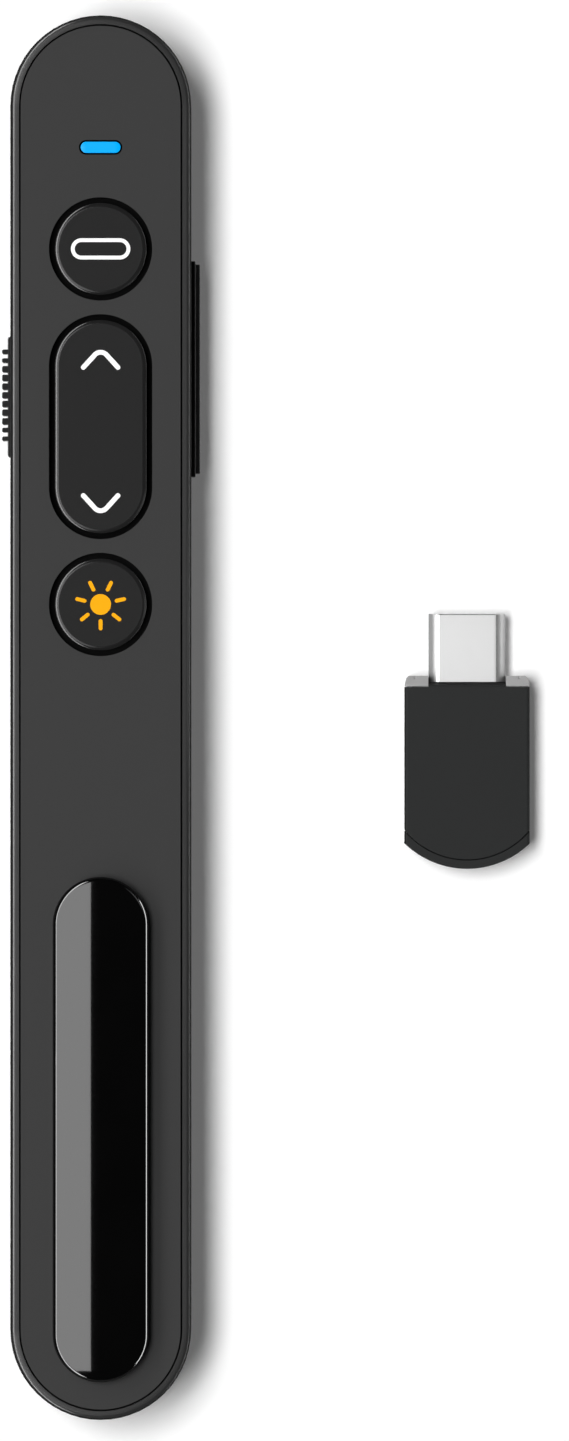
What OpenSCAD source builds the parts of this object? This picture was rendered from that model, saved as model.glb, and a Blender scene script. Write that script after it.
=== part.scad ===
// Wireless presentation clicker with its USB-C receiver.
// It lies on its back: +Z is up out of the face, +Y is towards the laser end, +X is to the right.
// The origin is the centre of the flat back. All sizes are in millimetres.

/* [Body] */
// Length of the clicker, nose to tail
body_len = 150; // [150:1:165]
// Width of the clicker, which is also the diameter of its round ends
body_w = 19.3; // [19.1:0.1:21]
// Thickness from the back to the face
body_h = 14.5; // [14.4:0.1:16]
// Wall of the rear shell
wall = 1.3; // [1.2:0.05:1.4]
// Width of the rim that shows around the face plate
rim_w = 0.93; // [0.8:0.01:1]
// Seam between the rim and the face plate
seam = 0.14; // [0.06:0.02:0.16]
// Thickness of the face plate
plate_t = 1.2; // [1:0.1:1.4]
// Rounding of the front edge
front_edge_r = 0.5; // [0.3:0.05:0.7]
// Rounding of the back edge
back_edge_r = 3; // [2.6:0.1:3]

/* [Keys] */
// Distance from the nose to the middle of the page key
page_from_nose = 43.93; // [43:0.1:46]
// Length of the page key
page_key_len = 22.8; // [21:0.1:24]
// Width of the page key, and diameter of the two round keys
key_w = 9.8; // [9:0.1:10]
// Open ring between a key and the edge of its hole
key_gap = 0.6; // [0.4:0.05:0.7]
// Bridge of the face plate between two key holes
key_web = 1.48; // [1.4:0.02:2]
// Height of the keys above the face
key_proud = 0.35; // [0.2:0.05:0.6]
// Rounding of the keys' top edges
key_edge_r = 0.25; // [0.1:0.05:0.35]
// Overlap of a key's flange under the face plate
key_lip = 0.6; // [0.4:0.05:0.62]
// Thickness of the keys' flanges
flange_t = 0.9; // [0.7:0.1:1]
// Press of the round keys
key_travel = 0.35; // [0.2:0.05:0.4]
// Tilt of the page key to each side, in degrees
page_tilt = 1.5; // [1:0.1:1.6]

/* [Status light] */
// Distance from the middle of the link key to the light
led_from_link = 10.85; // [10.6:0.05:12]
// Length of the light across the face
led_len = 4.43; // [3:0.1:5]
// Width of the light
led_w = 1.37; // [1:0.05:1.6]

/* [Side controls] */
// Distance from the nose to the middle of the power knob
power_from_nose = 40.7; // [40:0.1:42]
// Length of the power knob's plate
knob_len = 12.95; // [12.9:0.1:14]
// Height of the power knob and of the volume key
side_key_h = 5; // [4:0.1:5.2]
// Height of the power knob's plate above the side
knob_proud = 0.34; // [0.2:0.02:0.5]
// Number of grip ribs on the power knob
rib_count = 11; // [7:1:12]
// Spacing of the grip ribs
rib_pitch = 0.93; // [0.8:0.01:0.98]
// Width of a grip rib
rib_w = 0.68; // [0.56:0.02:0.72]
// Width of the two grip ribs at each end
rib_end_w = 0.46; // [0.4:0.02:0.56]
// Height of a grip rib above the knob's plate
rib_h = 0.6; // [0.3:0.02:0.7]
// Slide of the power knob from ON to OFF
power_travel = 2; // [1:0.1:2]
// Distance from the nose to the middle of the volume key
volume_from_nose = 37.7; // [37:0.1:38.4]
// Length of the volume key
volume_len = 23.1; // [20:0.1:24]
// Height of the volume key above the side
volume_proud = 0.94; // [0.6:0.02:1.2]
// Tilt of the volume key to each side, in degrees
volume_tilt = 1.4; // [1:0.1:1.5]

/* [Pocket clip] */
// Distance from the tail to the end of the clip
clip_from_tail = 4.1; // [3:0.1:6]
// Length of the clip
clip_len = 53.9; // [40:0.1:56]
// Width of the clip
clip_w = 10.2; // [8:0.1:12]
// Thickness of the clip's arm
clip_t = 1.4; // [1.2:0.1:1.8]
// Gap between the clip's arm and the face
clip_gap = 1.8; // [1.2:0.1:2.4]
// Radius of the crown across the clip
clip_crown_r = 40; // [30:1:80]
// Rounding of the clip's top edge
clip_edge_r = 0.3; // [0.2:0.05:0.4]
// Length of the foot that holds the clip to the face
clip_foot_len = 8.9; // [7:0.1:12]

/* [Battery] */
// Diameter of the AAA cell
cell_d = 10.4; // [10:0.1:10.4]
// Length of the AAA cell with its button
cell_len = 44.5; // [43:0.1:44.5]
// Length of the pressed battery spring
spring_len = 4.7; // [4.6:0.1:5]
// Thickness of the battery door
door_t = 1.5; // [1.4:0.05:1.6]
// How far the battery door reaches past the screw heads that it covers
door_cover = 0.15; // [0.12:0.01:0.2]
// Running gap around the battery door
door_gap = 0.1; // [0.06:0.02:0.14]
// Floor of the rear shell above the door
floor_t = 0.8; // [0.7:0.05:0.9]
// Length of the door past the front screws
door_past_screws = 5.6; // [4:0.1:8]

/* [Electronics] */
// Height of the main board's underside above the back
board_z = 8; // [7.9:0.05:8.1]
// Thickness of the main board
board_t = 1; // [0.8:0.05:1.1]
// Distance from the shell's inner wall to the edge of the main board
board_inset = 1.65; // [1.65:0.01:1.75]
// Height of the snap domes
dome_h = 0.45; // [0.4:0.05:0.6]
// Radius of the snap domes
dome_r = 2.5; // [2:0.1:2.6]
// Diameter of the laser barrel
laser_d = 6; // [5.6:0.1:6.2]
// Length of the laser barrel
laser_len = 10.2; // [9.6:0.1:10.4]

/* [Receiver] */
// Middle of the receiver, to the right of the clicker
recv_x = 39.2; // [30:0.1:60]
// Place of the receiver's plug end along the clicker
recv_y = 4.5; // [-30:0.5:30]
// Width of the receiver
recv_w = 13.4; // [13:0.1:13.5]
// Length of the receiver without its plug
recv_len = 20.7; // [19:0.1:21]
// Thickness of the receiver
recv_h = 6; // [5.6:0.1:6.2]
// Rounding of the receiver's long edges
recv_edge_r = 0.35; // [0.2:0.05:0.8]
// Length of the tapered collar at the plug end
collar_len = 1.1; // [0.8:0.1:1.6]
// Seam between the collar and the receiver's shell
collar_seam = 0.1; // [0.06:0.02:0.16]
// Width of the USB-C plug
plug_w = 8.25; // [8.2:0.01:8.3]
// Thickness of the USB-C plug
plug_h = 2.4; // [2.38:0.01:2.45]
// Length of the USB-C plug
plug_len = 6.65; // [6.5:0.01:6.7]
// Free space around the stowed receiver
bay_gap = 0.3; // [0.2:0.05:0.35]

/* [Hidden] */
$fn = 64;

shell_grey = "#444444";
key_grey = "#2d2d2d";
metal = "#c9c9c9";
copper = "#c08a4a";
cut = 1;                                  // how far a cutter runs past the face that it cuts
touch = 0.05;                             // gap between rigid pieces that meet but don't press

half_w = body_w / 2;
nose = body_len / 2;
tail = -body_len / 2;
floor_z = door_t + door_gap;              // underside of the shell's floor, above the door
inside_z = floor_z + floor_t;             // floor of the inside
under_plate = body_h - plate_t;
inner_half = half_w - wall;

// Keys, laid out from the page key
hole_w = key_w + 2 * key_gap;
page_hole_len = page_key_len + 2 * key_gap;
page_y = nose - page_from_nose;
link_y = page_y + page_hole_len / 2 + key_web + hole_w / 2;
laser_y = page_y - page_hole_len / 2 - key_web - hole_w / 2;
led_y = link_y + led_from_link;
flange_w = hole_w + 2 * key_lip;
page_flange_len = page_hole_len + 2 * key_lip;
flange_gap = 0.1;                         // round keys rest this far under the plate
page_gap = 0.1 + page_flange_len / 2 * sin(page_tilt);
board_top = board_z + board_t;
dome_top = board_top + dome_h;
stem_r = 1.2;
page_stem_y = 8.2;                        // where the page key's two stems stand from its middle
fulcrum_r = 0.4;

// Side controls
power_y = nose - power_from_nose;
volume_y = nose - volume_from_nose;
side_z = board_z - 1.3;                   // height of the switch levers that hang under the board
knob_recess = 0.5;
slot_play = 0.15;
stem_len = 5;
stem_h = 2.4;
stem_in = inner_half - 1.35;              // inner end of the knob's stem
knob_end_r = 0.3;
lever_w = 1.4;
lever_h = 1.2;
switch_in = inner_half - 1.75;            // outer face of the slide switch, from the middle
switch_depth = 3.8;
switch_len = 8.6;
volume_flange_t = 0.8;
volume_lip = 0.7;                         // how far the volume key's flange reaches past its bar
volume_switch_y = 7.5;
volume_switch_in = inner_half - 2.75;     // outer face of the volume switches
volume_switch_depth = 3;
volume_switch_len = 4.4;
volume_rock_gap = 0.06 + (volume_len / 2 + volume_lip) * sin(volume_tilt);
volume_pivot_x = inner_half - volume_rock_gap;

// Screws
screw_r = 0.8;
screw_head_r = 1.4;
screw_head_h = 1.1;
screw_len = 6.4;
boss_r = 1.7;
column_r = 2;
column_top = 6;
screw_x = inner_half - column_r - 0.8;
screw_front_y = laser_y - sqrt(pow(flange_w / 2 + boss_r + 0.25, 2) - pow(screw_x, 2));
door_w = 2 * (screw_x + screw_head_r + 0.1 + door_cover);
door_tongue = 0.5;
door_grip_len = 8;

// Battery and the receiver's bay, laid out from the tail
bay_depth = recv_len + plug_len + 0.5;
bay_wall = 0.8;
bay_w = recv_w + 2 * bay_gap - 0.2;
bay_top = inside_z + recv_h + 2 * bay_gap;
plate_thick = 0.3;                        // sheet of the two battery contacts
spring_plate_y = tail + bay_depth + bay_wall;
cell_y = spring_plate_y + plate_thick + spring_len;
cell_end = cell_y + cell_len;
screw_rear_y = spring_plate_y + plate_thick + spring_len / 2 - 0.15;
cell_z = door_t + 0.4 + cell_d / 2;
button_len = 0.8;
spring_way = screw_x - column_r - 0.15;   // half width of the opening under the spring
coil_r = screw_x - boss_r - 0.65;         // large end of the spring, inside the two rear bosses
door_front = screw_front_y + door_past_screws;

// Board
board_w = 2 * (inner_half - board_inset);
board_half = board_w / 2;
board_rear = laser_y - 2.9;
board_front = led_y + 1.5;
post_from_rear = 7.8;
post_from_front = 5.9;
board_posts = [
    for (y = [board_rear + post_from_rear, board_front - post_from_front], side = [-1, 1]) [y, side]
];
chip_size = 4;
chip_y = link_y - 6.2;                    // row of the radio chip and its crystal
post_x = board_half - 1.5;
post_r = 1.4;
pin_r = 0.6;

// Laser
laser_z = board_z + board_t / 2;
laser_rear = board_front + 0.8;
laser_front = laser_rear + laser_len;
window_r = 2.1;
window_t = 0.7;

// Receiver
recv_z = recv_h / 2;
recv_end = recv_y - recv_len;
recv_arc_y = recv_end + half_w;           // its end has the radius of the clicker's own end
recv_wall = 0.8;
collar_spigot = 1.5;                      // how far the collar plugs into the receiver's shell
plug_root = recv_y - collar_len - collar_spigot;
plug_tip = recv_y + plug_len;
shell_end = recv_y - collar_len - collar_seam;
root_depth = 0.45;                        // how far the shell's root around the plug runs into the collar
plug_sheet = 0.32;

// ---------- shared forms ----------

// Half outline of a slab, from its spine outwards, with both edges rounded
module slab_profile(half, low, high, r_low, r_high) {
    translate([0, low]) square([half - r_low, r_low]);
    translate([0, low + r_low]) square([half, high - low - r_low - r_high]);
    translate([0, high - r_high]) square([half - r_high, r_high]);
    translate([half - r_low, low + r_low]) circle(r_low);
    translate([half - r_high, high - r_high]) circle(r_high);
}

// Solid with full-round ends from a half outline: two half revolves and a straight middle
module stadium(len, half) {
    straight = len - 2 * half;
    translate([0, straight / 2, 0]) rotate_extrude(angle = 180) children();
    translate([0, -straight / 2, 0]) rotate([0, 0, 180]) rotate_extrude(angle = 180) children();
    translate([0, straight / 2, 0]) rotate([90, 0, 0]) linear_extrude(straight) {
        children();
        mirror([1, 0]) children();
    }
}

// Flat outline with full-round ends, its length along Y
module pill(len, width) {
    square([width, len - width], center = true);
    for (side = [-1, 1]) translate([0, side * (len - width) / 2]) circle(width / 2);
}

// Upright plate with full-round ends
module pill_plate(len, width, low, high) {
    translate([0, 0, low]) linear_extrude(high - low) pill(len, width);
}

module box(low, high) {
    translate(low) cube(high - low);
}

// Round bar along Y
module bar_y(x, z, r, from_y, to_y) {
    translate([x, to_y, z]) rotate([90, 0, 0]) cylinder(r = r, h = to_y - from_y);
}

// Outer form of the clicker without its side controls
module outer_form() {
    stadium(body_len, half_w) slab_profile(half_w, 0, body_h, back_edge_r, front_edge_r);
}

// Room inside the rear shell, with the step that carries the face plate
module inside_form() {
    corner = 1;
    stadium(body_len - 2 * wall, inner_half) {
        translate([0, inside_z]) square([inner_half - corner, corner]);
        translate([0, inside_z + corner]) square([inner_half, under_plate - inside_z - corner + cut / 2]);
        translate([inner_half - corner, inside_z + corner]) circle(corner);
    }
    pill_plate(body_len - 2 * rim_w, body_w - 2 * rim_w, under_plate, body_h + cut);
}

// Keeps inner walls inside the middle of the shell's own wall
module inner_limit(high) {
    pill_plate(body_len - 1.4 * wall, body_w - 1.4 * wall, floor_z, high);
}

// ---------- housing ----------

module receiver_bay_block() {
    intersection() {
        inner_limit(bay_top + bay_wall);
        box([-half_w, tail, floor_z], [half_w, tail + bay_depth + bay_wall, body_h]);
    }
}

module contact_wall() {
    intersection() {
        inner_limit(cell_z + 3.6);
        box([-half_w, cell_end + plate_thick, floor_z], [half_w, cell_end + plate_thick + bay_wall, body_h]);
    }
}

module screw_columns() {
    for (y = [screw_front_y, screw_rear_y], side = [-1, 1])
        translate([side * screw_x, y, floor_z]) cylinder(r = column_r, h = column_top - floor_z);
}

module posts() {
    for (post = board_posts) translate([post[1] * post_x, post[0], floor_z]) {
        cylinder(r = post_r, h = board_z - floor_z);
        cylinder(r = pin_r, h = board_top + 0.5 - floor_z);
    }
}

module laser_cradle() {
    for (y = [laser_rear + 2, laser_front - 3])
        box([-4, y, floor_z], [4, y + 1.2, laser_z]);
}

module door_recess() {
    gap = door_gap;
    box([-door_w / 2 - gap, tail - cut, -cut], [door_w / 2 + gap, door_front + gap, door_t + gap]);
    groove = door_w / 2 + door_tongue + gap;
    box([-groove, tail - cut, 0.55 - gap], [groove, door_front - 1 + gap, 1.1 + gap]);
}

module battery_opening() {
    box([-cell_d / 2 - 0.2, cell_y - 0.6, 0], [cell_d / 2 + 0.2, cell_end + plate_thick, inside_z + cut / 4]);
    box([-spring_way, spring_plate_y + plate_thick, 0], [spring_way, cell_y, inside_z + cut / 4]);
}

module screw_ways() {
    for (y = [screw_front_y, screw_rear_y], side = [-1, 1]) translate([side * screw_x, y, 0]) {
        cylinder(r = screw_head_r + 0.1, h = floor_z + 0.2 + screw_head_h);
        cylinder(r = screw_r + 0.1, h = column_top + cut);
    }
}

module power_slot() {
    recess = knob_len + power_travel + 2 * slot_play;
    slot = stem_len + power_travel + 2 * slot_play;
    translate([0, power_y - power_travel / 2, side_z]) {
        translate([-half_w - cut, -recess / 2, -side_key_h / 2 - slot_play])
            cube([cut + knob_recess, recess, side_key_h + 2 * slot_play]);
        translate([-half_w - cut, -slot / 2, -stem_h / 2 - 0.1]) cube([cut + 2 * wall, slot, stem_h + 0.2]);
    }
}

module volume_opening() {
    translate([half_w - 2 * wall, volume_y - volume_len / 2 - slot_play, side_z - side_key_h / 2 - slot_play])
        cube([2 * wall + cut, volume_len + 2 * slot_play, side_key_h + 2 * slot_play]);
}

module rear_shell() {
    color(shell_grey) difference() {
        union() {
            difference() {
                outer_form();
                inside_form();
            }
            receiver_bay_block();
            contact_wall();
            screw_columns();
            posts();
            laser_cradle();
        }
        door_recess();
        battery_opening();
        screw_ways();
        power_slot();
        volume_opening();
        box([-bay_w / 2, tail - cut, inside_z], [bay_w / 2, tail + bay_depth, bay_top]);
        bar_y(0, laser_z, laser_d / 2 + touch, laser_rear, laser_front + 0.1);
        bar_y(0, laser_z, window_r + touch, nose - 3 * wall, nose - wall / 2 + touch);
        bar_y(0, laser_z, window_r - 0.5, nose - wall, nose + cut);
    }
}

module face_plate() {
    plate_w = body_w - 2 * rim_w - 2 * seam;
    plate_len = body_len - 2 * rim_w - 2 * seam;
    skirt_w = 2 * inner_half - 0.2;
    skirt_len = body_len - 2 * wall - 0.2;
    skirt_t = 0.5;
    skirt_h = 1.3;
    color(shell_grey) difference() {
        union() {
            pill_plate(plate_len, plate_w, under_plate, body_h);
            difference() {
                pill_plate(skirt_len, skirt_w, under_plate - skirt_h, under_plate + touch);
                pill_plate(skirt_len - 2 * skirt_t, skirt_w - 2 * skirt_t,
                           under_plate - 2 * skirt_h, under_plate);
            }
            for (y = [screw_front_y, screw_rear_y], side = [-1, 1])
                translate([side * screw_x, y, column_top + touch])
                    cylinder(r = boss_r, h = under_plate - column_top);
        }
        for (y = [link_y, laser_y])
            translate([0, y, under_plate - cut]) cylinder(r = hole_w / 2, h = plate_t + 2 * cut);
        translate([0, page_y, 0]) pill_plate(page_hole_len, hole_w, under_plate - cut, body_h + cut);
        translate([0, led_y, 0]) rotate([0, 0, 90])
            pill_plate(led_len + 0.1, led_w + 0.1, under_plate - cut, body_h + cut);
        for (y = [screw_front_y, screw_rear_y], side = [-1, 1])
            translate([side * screw_x, y, 0]) cylinder(r = screw_r + 0.03, h = screw_tip_z() + 0.5);
    }
}

function screw_tip_z() = floor_z + 0.2 + screw_head_h + screw_len;

module battery_door() {
    tongue = door_w / 2 + door_tongue;
    color(shell_grey) difference() {
        intersection() {
            outer_form();
            union() {
                box([-door_w / 2, tail - cut, -cut], [door_w / 2, door_front, door_t]);
                box([-tongue, tail - cut, 0.55], [tongue, door_front - 1, 1.1]);
            }
        }
        for (line = [0:4]) translate([0, door_front - 3 - 1.2 * line, 0]) rotate([0, 0, 90])
            pill_plate(door_grip_len, 0.6, -cut, 0.3);
    }
}

module housing_screws() {
    color(metal) for (y = [screw_front_y, screw_rear_y], side = [-1, 1])
        translate([side * screw_x, y, floor_z + 0.2]) difference() {
            union() {
                cylinder(r = screw_head_r, h = screw_head_h);
                cylinder(r = screw_r, h = screw_head_h + screw_len);
            }
            for (turn = [0, 90]) rotate([0, 0, turn])
                translate([-0.75, -0.15, -cut]) cube([1.5, 0.3, cut + 0.5]);
        }
}

// ---------- keys and light ----------

// Moulded key of revolution: a hollow cap, its flange, a middle stem and four ribs
module round_key() {
    flange_top = under_plate - flange_gap;
    flange_low = flange_top - flange_t;
    top = body_h + key_proud;
    skin = 1;
    difference() {
        union() {
            rotate_extrude() slab_profile(key_w / 2, flange_low, top, 0.1, key_edge_r);
            translate([0, 0, flange_low]) cylinder(r = flange_w / 2, h = flange_t);
        }
        translate([0, 0, flange_low - cut]) cylinder(r = key_w / 2 - skin, h = top - skin - flange_low + cut);
    }
    translate([0, 0, dome_top + touch]) cylinder(r = stem_r, h = top - skin / 2 - dome_top);
    for (turn = [0, 90]) rotate([0, 0, turn])
        box([-key_w / 2 + skin / 2, -0.3, flange_low + 0.3], [key_w / 2 - skin / 2, 0.3, top - skin / 2]);
}

module link_key() {
    color(key_grey) translate([0, link_y, 0]) round_key();
}

module laser_key() {
    color(key_grey) translate([0, laser_y, 0]) round_key();
}

// Long rocking key: two stems over its domes and a round-edged fulcrum that stands on the board
module page_key() {
    flange_top = under_plate - page_gap;
    flange_low = flange_top - flange_t;
    top = body_h + key_proud;
    skin = 1;
    color(key_grey) translate([0, page_y, 0]) {
        difference() {
            union() {
                stadium(page_key_len, key_w / 2) slab_profile(key_w / 2, flange_low, top, 0.1, key_edge_r);
                pill_plate(page_flange_len, flange_w, flange_low, flange_top);
            }
            pill_plate(page_key_len - 2 * skin, key_w - 2 * skin, flange_low - cut, top - skin);
        }
        for (side = [-1, 1]) {
            translate([0, side * page_stem_y, dome_top + touch])
                cylinder(r = stem_r, h = top - skin / 2 - dome_top);
            box([-key_w / 2 + skin / 2, side * page_stem_y - 0.3, flange_low + 0.3],
                [key_w / 2 - skin / 2, side * page_stem_y + 0.3, top - skin / 2]);
        }
        box([-0.3, -page_stem_y, flange_low + 0.3], [0.3, page_stem_y, top - skin / 2]);
        box([-2, -fulcrum_r, board_top + touch + fulcrum_r], [2, fulcrum_r, top - skin / 2]);
        translate([-2, 0, board_top + touch + fulcrum_r]) rotate([0, 90, 0]) cylinder(r = fulcrum_r, h = 4);
    }
}

module snap_dome() {
    shell_r = (dome_r * dome_r + dome_h * dome_h) / (2 * dome_h);
    sheet = 0.12;
    translate([0, 0, board_top]) rotate_extrude() intersection() {
        square([dome_r, dome_h]);
        translate([0, dome_h - shell_r]) difference() {
            circle(shell_r, $fn = 360);
            circle(shell_r - sheet, $fn = 360);
        }
    }
}

module link_dome() {
    color(metal) translate([0, link_y, 0]) snap_dome();
}

module page_domes() {
    color(metal) for (side = [-1, 1]) translate([0, page_y + side * page_stem_y, 0]) snap_dome();
}

module laser_dome() {
    color(metal) translate([0, laser_y, 0]) snap_dome();
}

module led_lens() {
    color("#00b4fe") translate([0, led_y, 0]) rotate([0, 0, 90]) {
        pill_plate(led_len, led_w, under_plate - 0.4, body_h);
        pill_plate(6, 3, under_plate - 0.8, under_plate);
        pill_plate(3, 1.2, board_top + 0.8, under_plate - 0.4);
    }
}

module status_led() {
    color("#e8f4ff") translate([0, led_y, 0]) {
        box([-1, -0.6, board_top], [1, 0.6, board_top + 0.4]);
        box([-0.7, -0.5, board_top + 0.4], [0.7, 0.5, board_top + 0.7]);
    }
}

// ---------- side controls ----------

// Grip rib with a half-round nose
module grip_rib(width) {
    nose_x = -half_w - knob_proud - rib_h + width / 2;
    box([nose_x, -width / 2, -side_key_h / 2], [-half_w - knob_proud + touch, width / 2, side_key_h / 2]);
    translate([nose_x, 0, -side_key_h / 2]) cylinder(r = width / 2, h = side_key_h);
}

module power_knob() {
    plate_out = half_w + knob_proud;
    plate_in = half_w - knob_recess + touch;
    barb_x = inner_half - 0.1;
    color("#3a3a3a") translate([0, power_y, side_z]) difference() {
        union() {
            box([-plate_out, -knob_len / 2 + knob_end_r, -side_key_h / 2],
                [-plate_in, knob_len / 2 - knob_end_r, side_key_h / 2]);
            box([-plate_out + knob_end_r, -knob_len / 2, -side_key_h / 2],
                [-plate_in, knob_len / 2, side_key_h / 2]);
            for (side = [-1, 1])
                translate([-plate_out + knob_end_r, side * (knob_len / 2 - knob_end_r), -side_key_h / 2])
                    cylinder(r = knob_end_r, h = side_key_h);
            for (rib = [0:rib_count - 1]) translate([0, (rib - (rib_count - 1) / 2) * rib_pitch, 0])
                grip_rib(min(rib, rib_count - 1 - rib) < 2 ? rib_end_w : rib_w);
            box([-plate_in - touch, -stem_len / 2, -stem_h / 2], [-stem_in, stem_len / 2, stem_h / 2]);
            box([-barb_x, -stem_len / 2, -stem_h / 2 - 0.35],
                [-barb_x + 0.6, stem_len / 2, stem_h / 2 + 0.35]);
        }
        box([-inner_half - 0.3, -lever_w / 2 - touch, -lever_h / 2 - touch],
            [-stem_in + cut, lever_w / 2 + touch, lever_h / 2 + touch]);
    }
}

module switch_lever() {
    color("#1c1c1c") translate([0, power_y, side_z])
        box([-inner_half - 0.2, -lever_w / 2, -lever_h / 2], [-switch_in + 1.3, lever_w / 2, lever_h / 2]);
}

module power_switch() {
    throw = lever_w + power_travel + 0.4;
    color(metal) translate([0, power_y - power_travel / 2, 0]) difference() {
        box([-switch_in, -switch_len / 2, side_z - 1.3],
            [-switch_in + switch_depth, switch_len / 2, board_z]);
        box([-switch_in - cut, -throw / 2, side_z - lever_h / 2 - 0.1],
            [-switch_in + 1.6, throw / 2, side_z + lever_h / 2 + 0.1]);
    }
}

module volume_key() {
    flange_in = volume_pivot_x - volume_flange_t;
    nub = 0.4;
    color("#2a2a2a") translate([0, volume_y, side_z]) {
        box([flange_in, -volume_len / 2 - volume_lip, -side_key_h / 2 - volume_lip],
            [volume_pivot_x, volume_len / 2 + volume_lip, side_key_h / 2 + volume_lip]);
        box([volume_pivot_x - touch, -volume_len / 2, -side_key_h / 2],
            [half_w + 0.45, volume_len / 2, side_key_h / 2]);
        box([half_w + 0.4, -volume_len / 2 + 0.35, -side_key_h / 2 + 0.35],
            [half_w + volume_proud, volume_len / 2 - 0.35, side_key_h / 2 - 0.35]);
        for (side = [-1, 1]) box([flange_in - nub, side * volume_switch_y - 0.8, -0.8],
                                 [flange_in + touch, side * volume_switch_y + 0.8, 0.8]);
        for (z = [-side_key_h / 2 - volume_lip, side_key_h / 2 + 2 * slot_play])
            translate([volume_pivot_x, 0, z])
                cylinder(r = volume_rock_gap - 0.06, h = volume_lip - 2 * slot_play);
    }
}

module volume_switches() {
    plunger_tip = volume_pivot_x - volume_flange_t - 0.4 - 0.06 - (volume_switch_y + 0.8) * sin(volume_tilt);
    color(metal) for (side = [-1, 1]) translate([0, volume_y + side * volume_switch_y, 0]) {
        box([volume_switch_in - volume_switch_depth, -volume_switch_len / 2, side_z - 1.3],
            [volume_switch_in, volume_switch_len / 2, board_z]);
        translate([volume_switch_in - 0.1, 0, side_z]) rotate([0, 90, 0])
            cylinder(r = 0.7, h = plunger_tip - volume_switch_in + 0.1);
    }
}

// ---------- electronics ----------

module main_board() {
    color("#1f5a36") difference() {
        box([-board_w / 2, board_rear, board_z], [board_w / 2, board_front, board_top]);
        for (post = board_posts) translate([post[1] * post_x, post[0], board_z - cut])
            cylinder(r = pin_r + touch, h = board_t + 2 * cut);
    }
}

// Chip with a row of leads on two sides
module chip(size, high, leads) {
    translate([-size / 2, -size / 2, 0]) cube([size, size, high]);
    pitch = size / leads;
    for (side = [-1, 1], lead = [0:leads - 1])
        translate([side * (size / 2 + 0.15) - 0.25, (lead + 0.5) * pitch - size / 2 - pitch / 4, 0])
            cube([0.5, pitch / 2, high / 3]);
}

module rf_chip() {
    color("#202020") translate([board_half - chip_size / 2 - 1.1, chip_y, board_top]) chip(chip_size, 0.8, 6);
}

module crystal() {
    color(metal) translate([-board_half + 2.7, chip_y, board_top]) {
        box([-1.6, -1.25, 0], [1.6, 1.25, 0.3]);
        box([-1.45, -1.1, 0.3], [1.45, 1.1, 0.8]);
    }
}

module antenna() {
    color("#d8e4e8") translate([-board_half + 2.1, board_front - 2, board_top]) {
        box([-1.6, -0.8, 0], [1.6, 0.8, 0.9]);
        for (side = [-1, 1]) box([side * 1.7 - 0.3, -0.8, 0], [side * 1.7 + 0.3, 0.8, 0.5]);
    }
}

module board_parts() {
    row_pitch = 5;
    color("#8a6a4a") {
        for (row = [0:3], side = [-1, 1])
            translate([side * post_x, page_y + (row - 1.5) * row_pitch, board_top])
                box([-0.8, -0.4, 0], [0.8, 0.4, 0.5]);
        for (place = [-3.4, -2, 2, 3.4]) translate([place, board_front - 5, board_top])
            box([-0.3, -0.6, 0], [0.3, 0.6, 0.4]);
    }
}

// ---------- laser ----------

module laser_barrel() {
    bore = laser_d / 2 - 0.55;
    color("#c9a94a") translate([0, laser_rear, laser_z]) rotate([-90, 0, 0]) rotate_extrude() difference() {
        square([laser_d / 2, laser_len]);
        translate([0, -cut]) square([bore, laser_len - 0.7 + cut]);
        square([1.5, laser_len + cut]);
        translate([laser_d / 2 - 0.25, laser_len * 0.55]) square([cut, 0.8]);
    }
}

module laser_lens() {
    lens_r = laser_d / 2 - 0.6;
    ball_r = 6;
    color("#dff2ff") translate([0, laser_front - 0.7, laser_z]) rotate([90, 0, 0]) rotate_extrude()
        intersection() {
            square([lens_r, 1.6]);
            translate([0, 1.6 - ball_r]) circle(ball_r, $fn = 180);
        }
}

module laser_diode() {
    can_r = 1.65;
    pin_z = board_t / 2 + 0.2;
    color(metal) {
        bar_y(0, laser_z, laser_d / 2 - 0.6, laser_rear + 0.2, laser_rear + 1);
        bar_y(0, laser_z, can_r, laser_rear + 0.9, laser_rear + 3);
        for (side = [-1, 1]) bar_y(0, laser_z + side * pin_z, 0.19, laser_rear - 1.4, laser_rear + 0.3);
    }
}

module laser_window() {
    color("#5a1414") bar_y(0, laser_z, window_r, nose - wall / 2 - window_t, nose - wall / 2);
}

// ---------- battery ----------

module battery_cell() {
    can_r = cell_d / 2;
    can_len = cell_len - button_len;
    color("#3b5f86") translate([0, cell_y, cell_z]) rotate([-90, 0, 0]) rotate_extrude() difference() {
        union() {
            slab_profile(can_r, 0, can_len, 0.4, 0.5);
            square([1.8, cell_len]);
        }
        translate([2.6, can_len - 0.3]) square([1.6, cut]);
    }
}

function coil_path(turns, rings, r_start, r_end, length) = [
    for (i = [0:turns * rings])
        let (t = i / (turns * rings), r = r_start + (r_end - r_start) * t, angle = 360 * i / rings)
        [r * cos(angle), length * t, r * sin(angle)]
];

function unit(v) = v / norm(v);

// Round wire along a path, as one closed tube. The path never runs along the ref direction.
module wire(path, r, ref) {
    sides = 8;
    last = len(path) - 1;
    points = [
        for (i = [0:last])
            let (
                along = unit(path[min(i + 1, last)] - path[max(i - 1, 0)]),
                across = unit(cross(along, ref)),
                up = cross(across, along)
            )
            for (k = [0:sides - 1]) path[i] + r * (cos(360 * k / sides) * across + sin(360 * k / sides) * up)
    ];
    walls = [
        for (i = [0:last - 1], k = [0:sides - 1])
            let (a = i * sides + k, b = i * sides + (k + 1) % sides)
            [a, a + sides, b + sides, b]
    ];
    first_cap = [for (k = [0:sides - 1]) k];
    last_cap = [for (k = [sides - 1:-1:0]) last * sides + k];
    polyhedron(points, concat([first_cap], walls, [last_cap]), convexity = 10);
}

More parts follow.
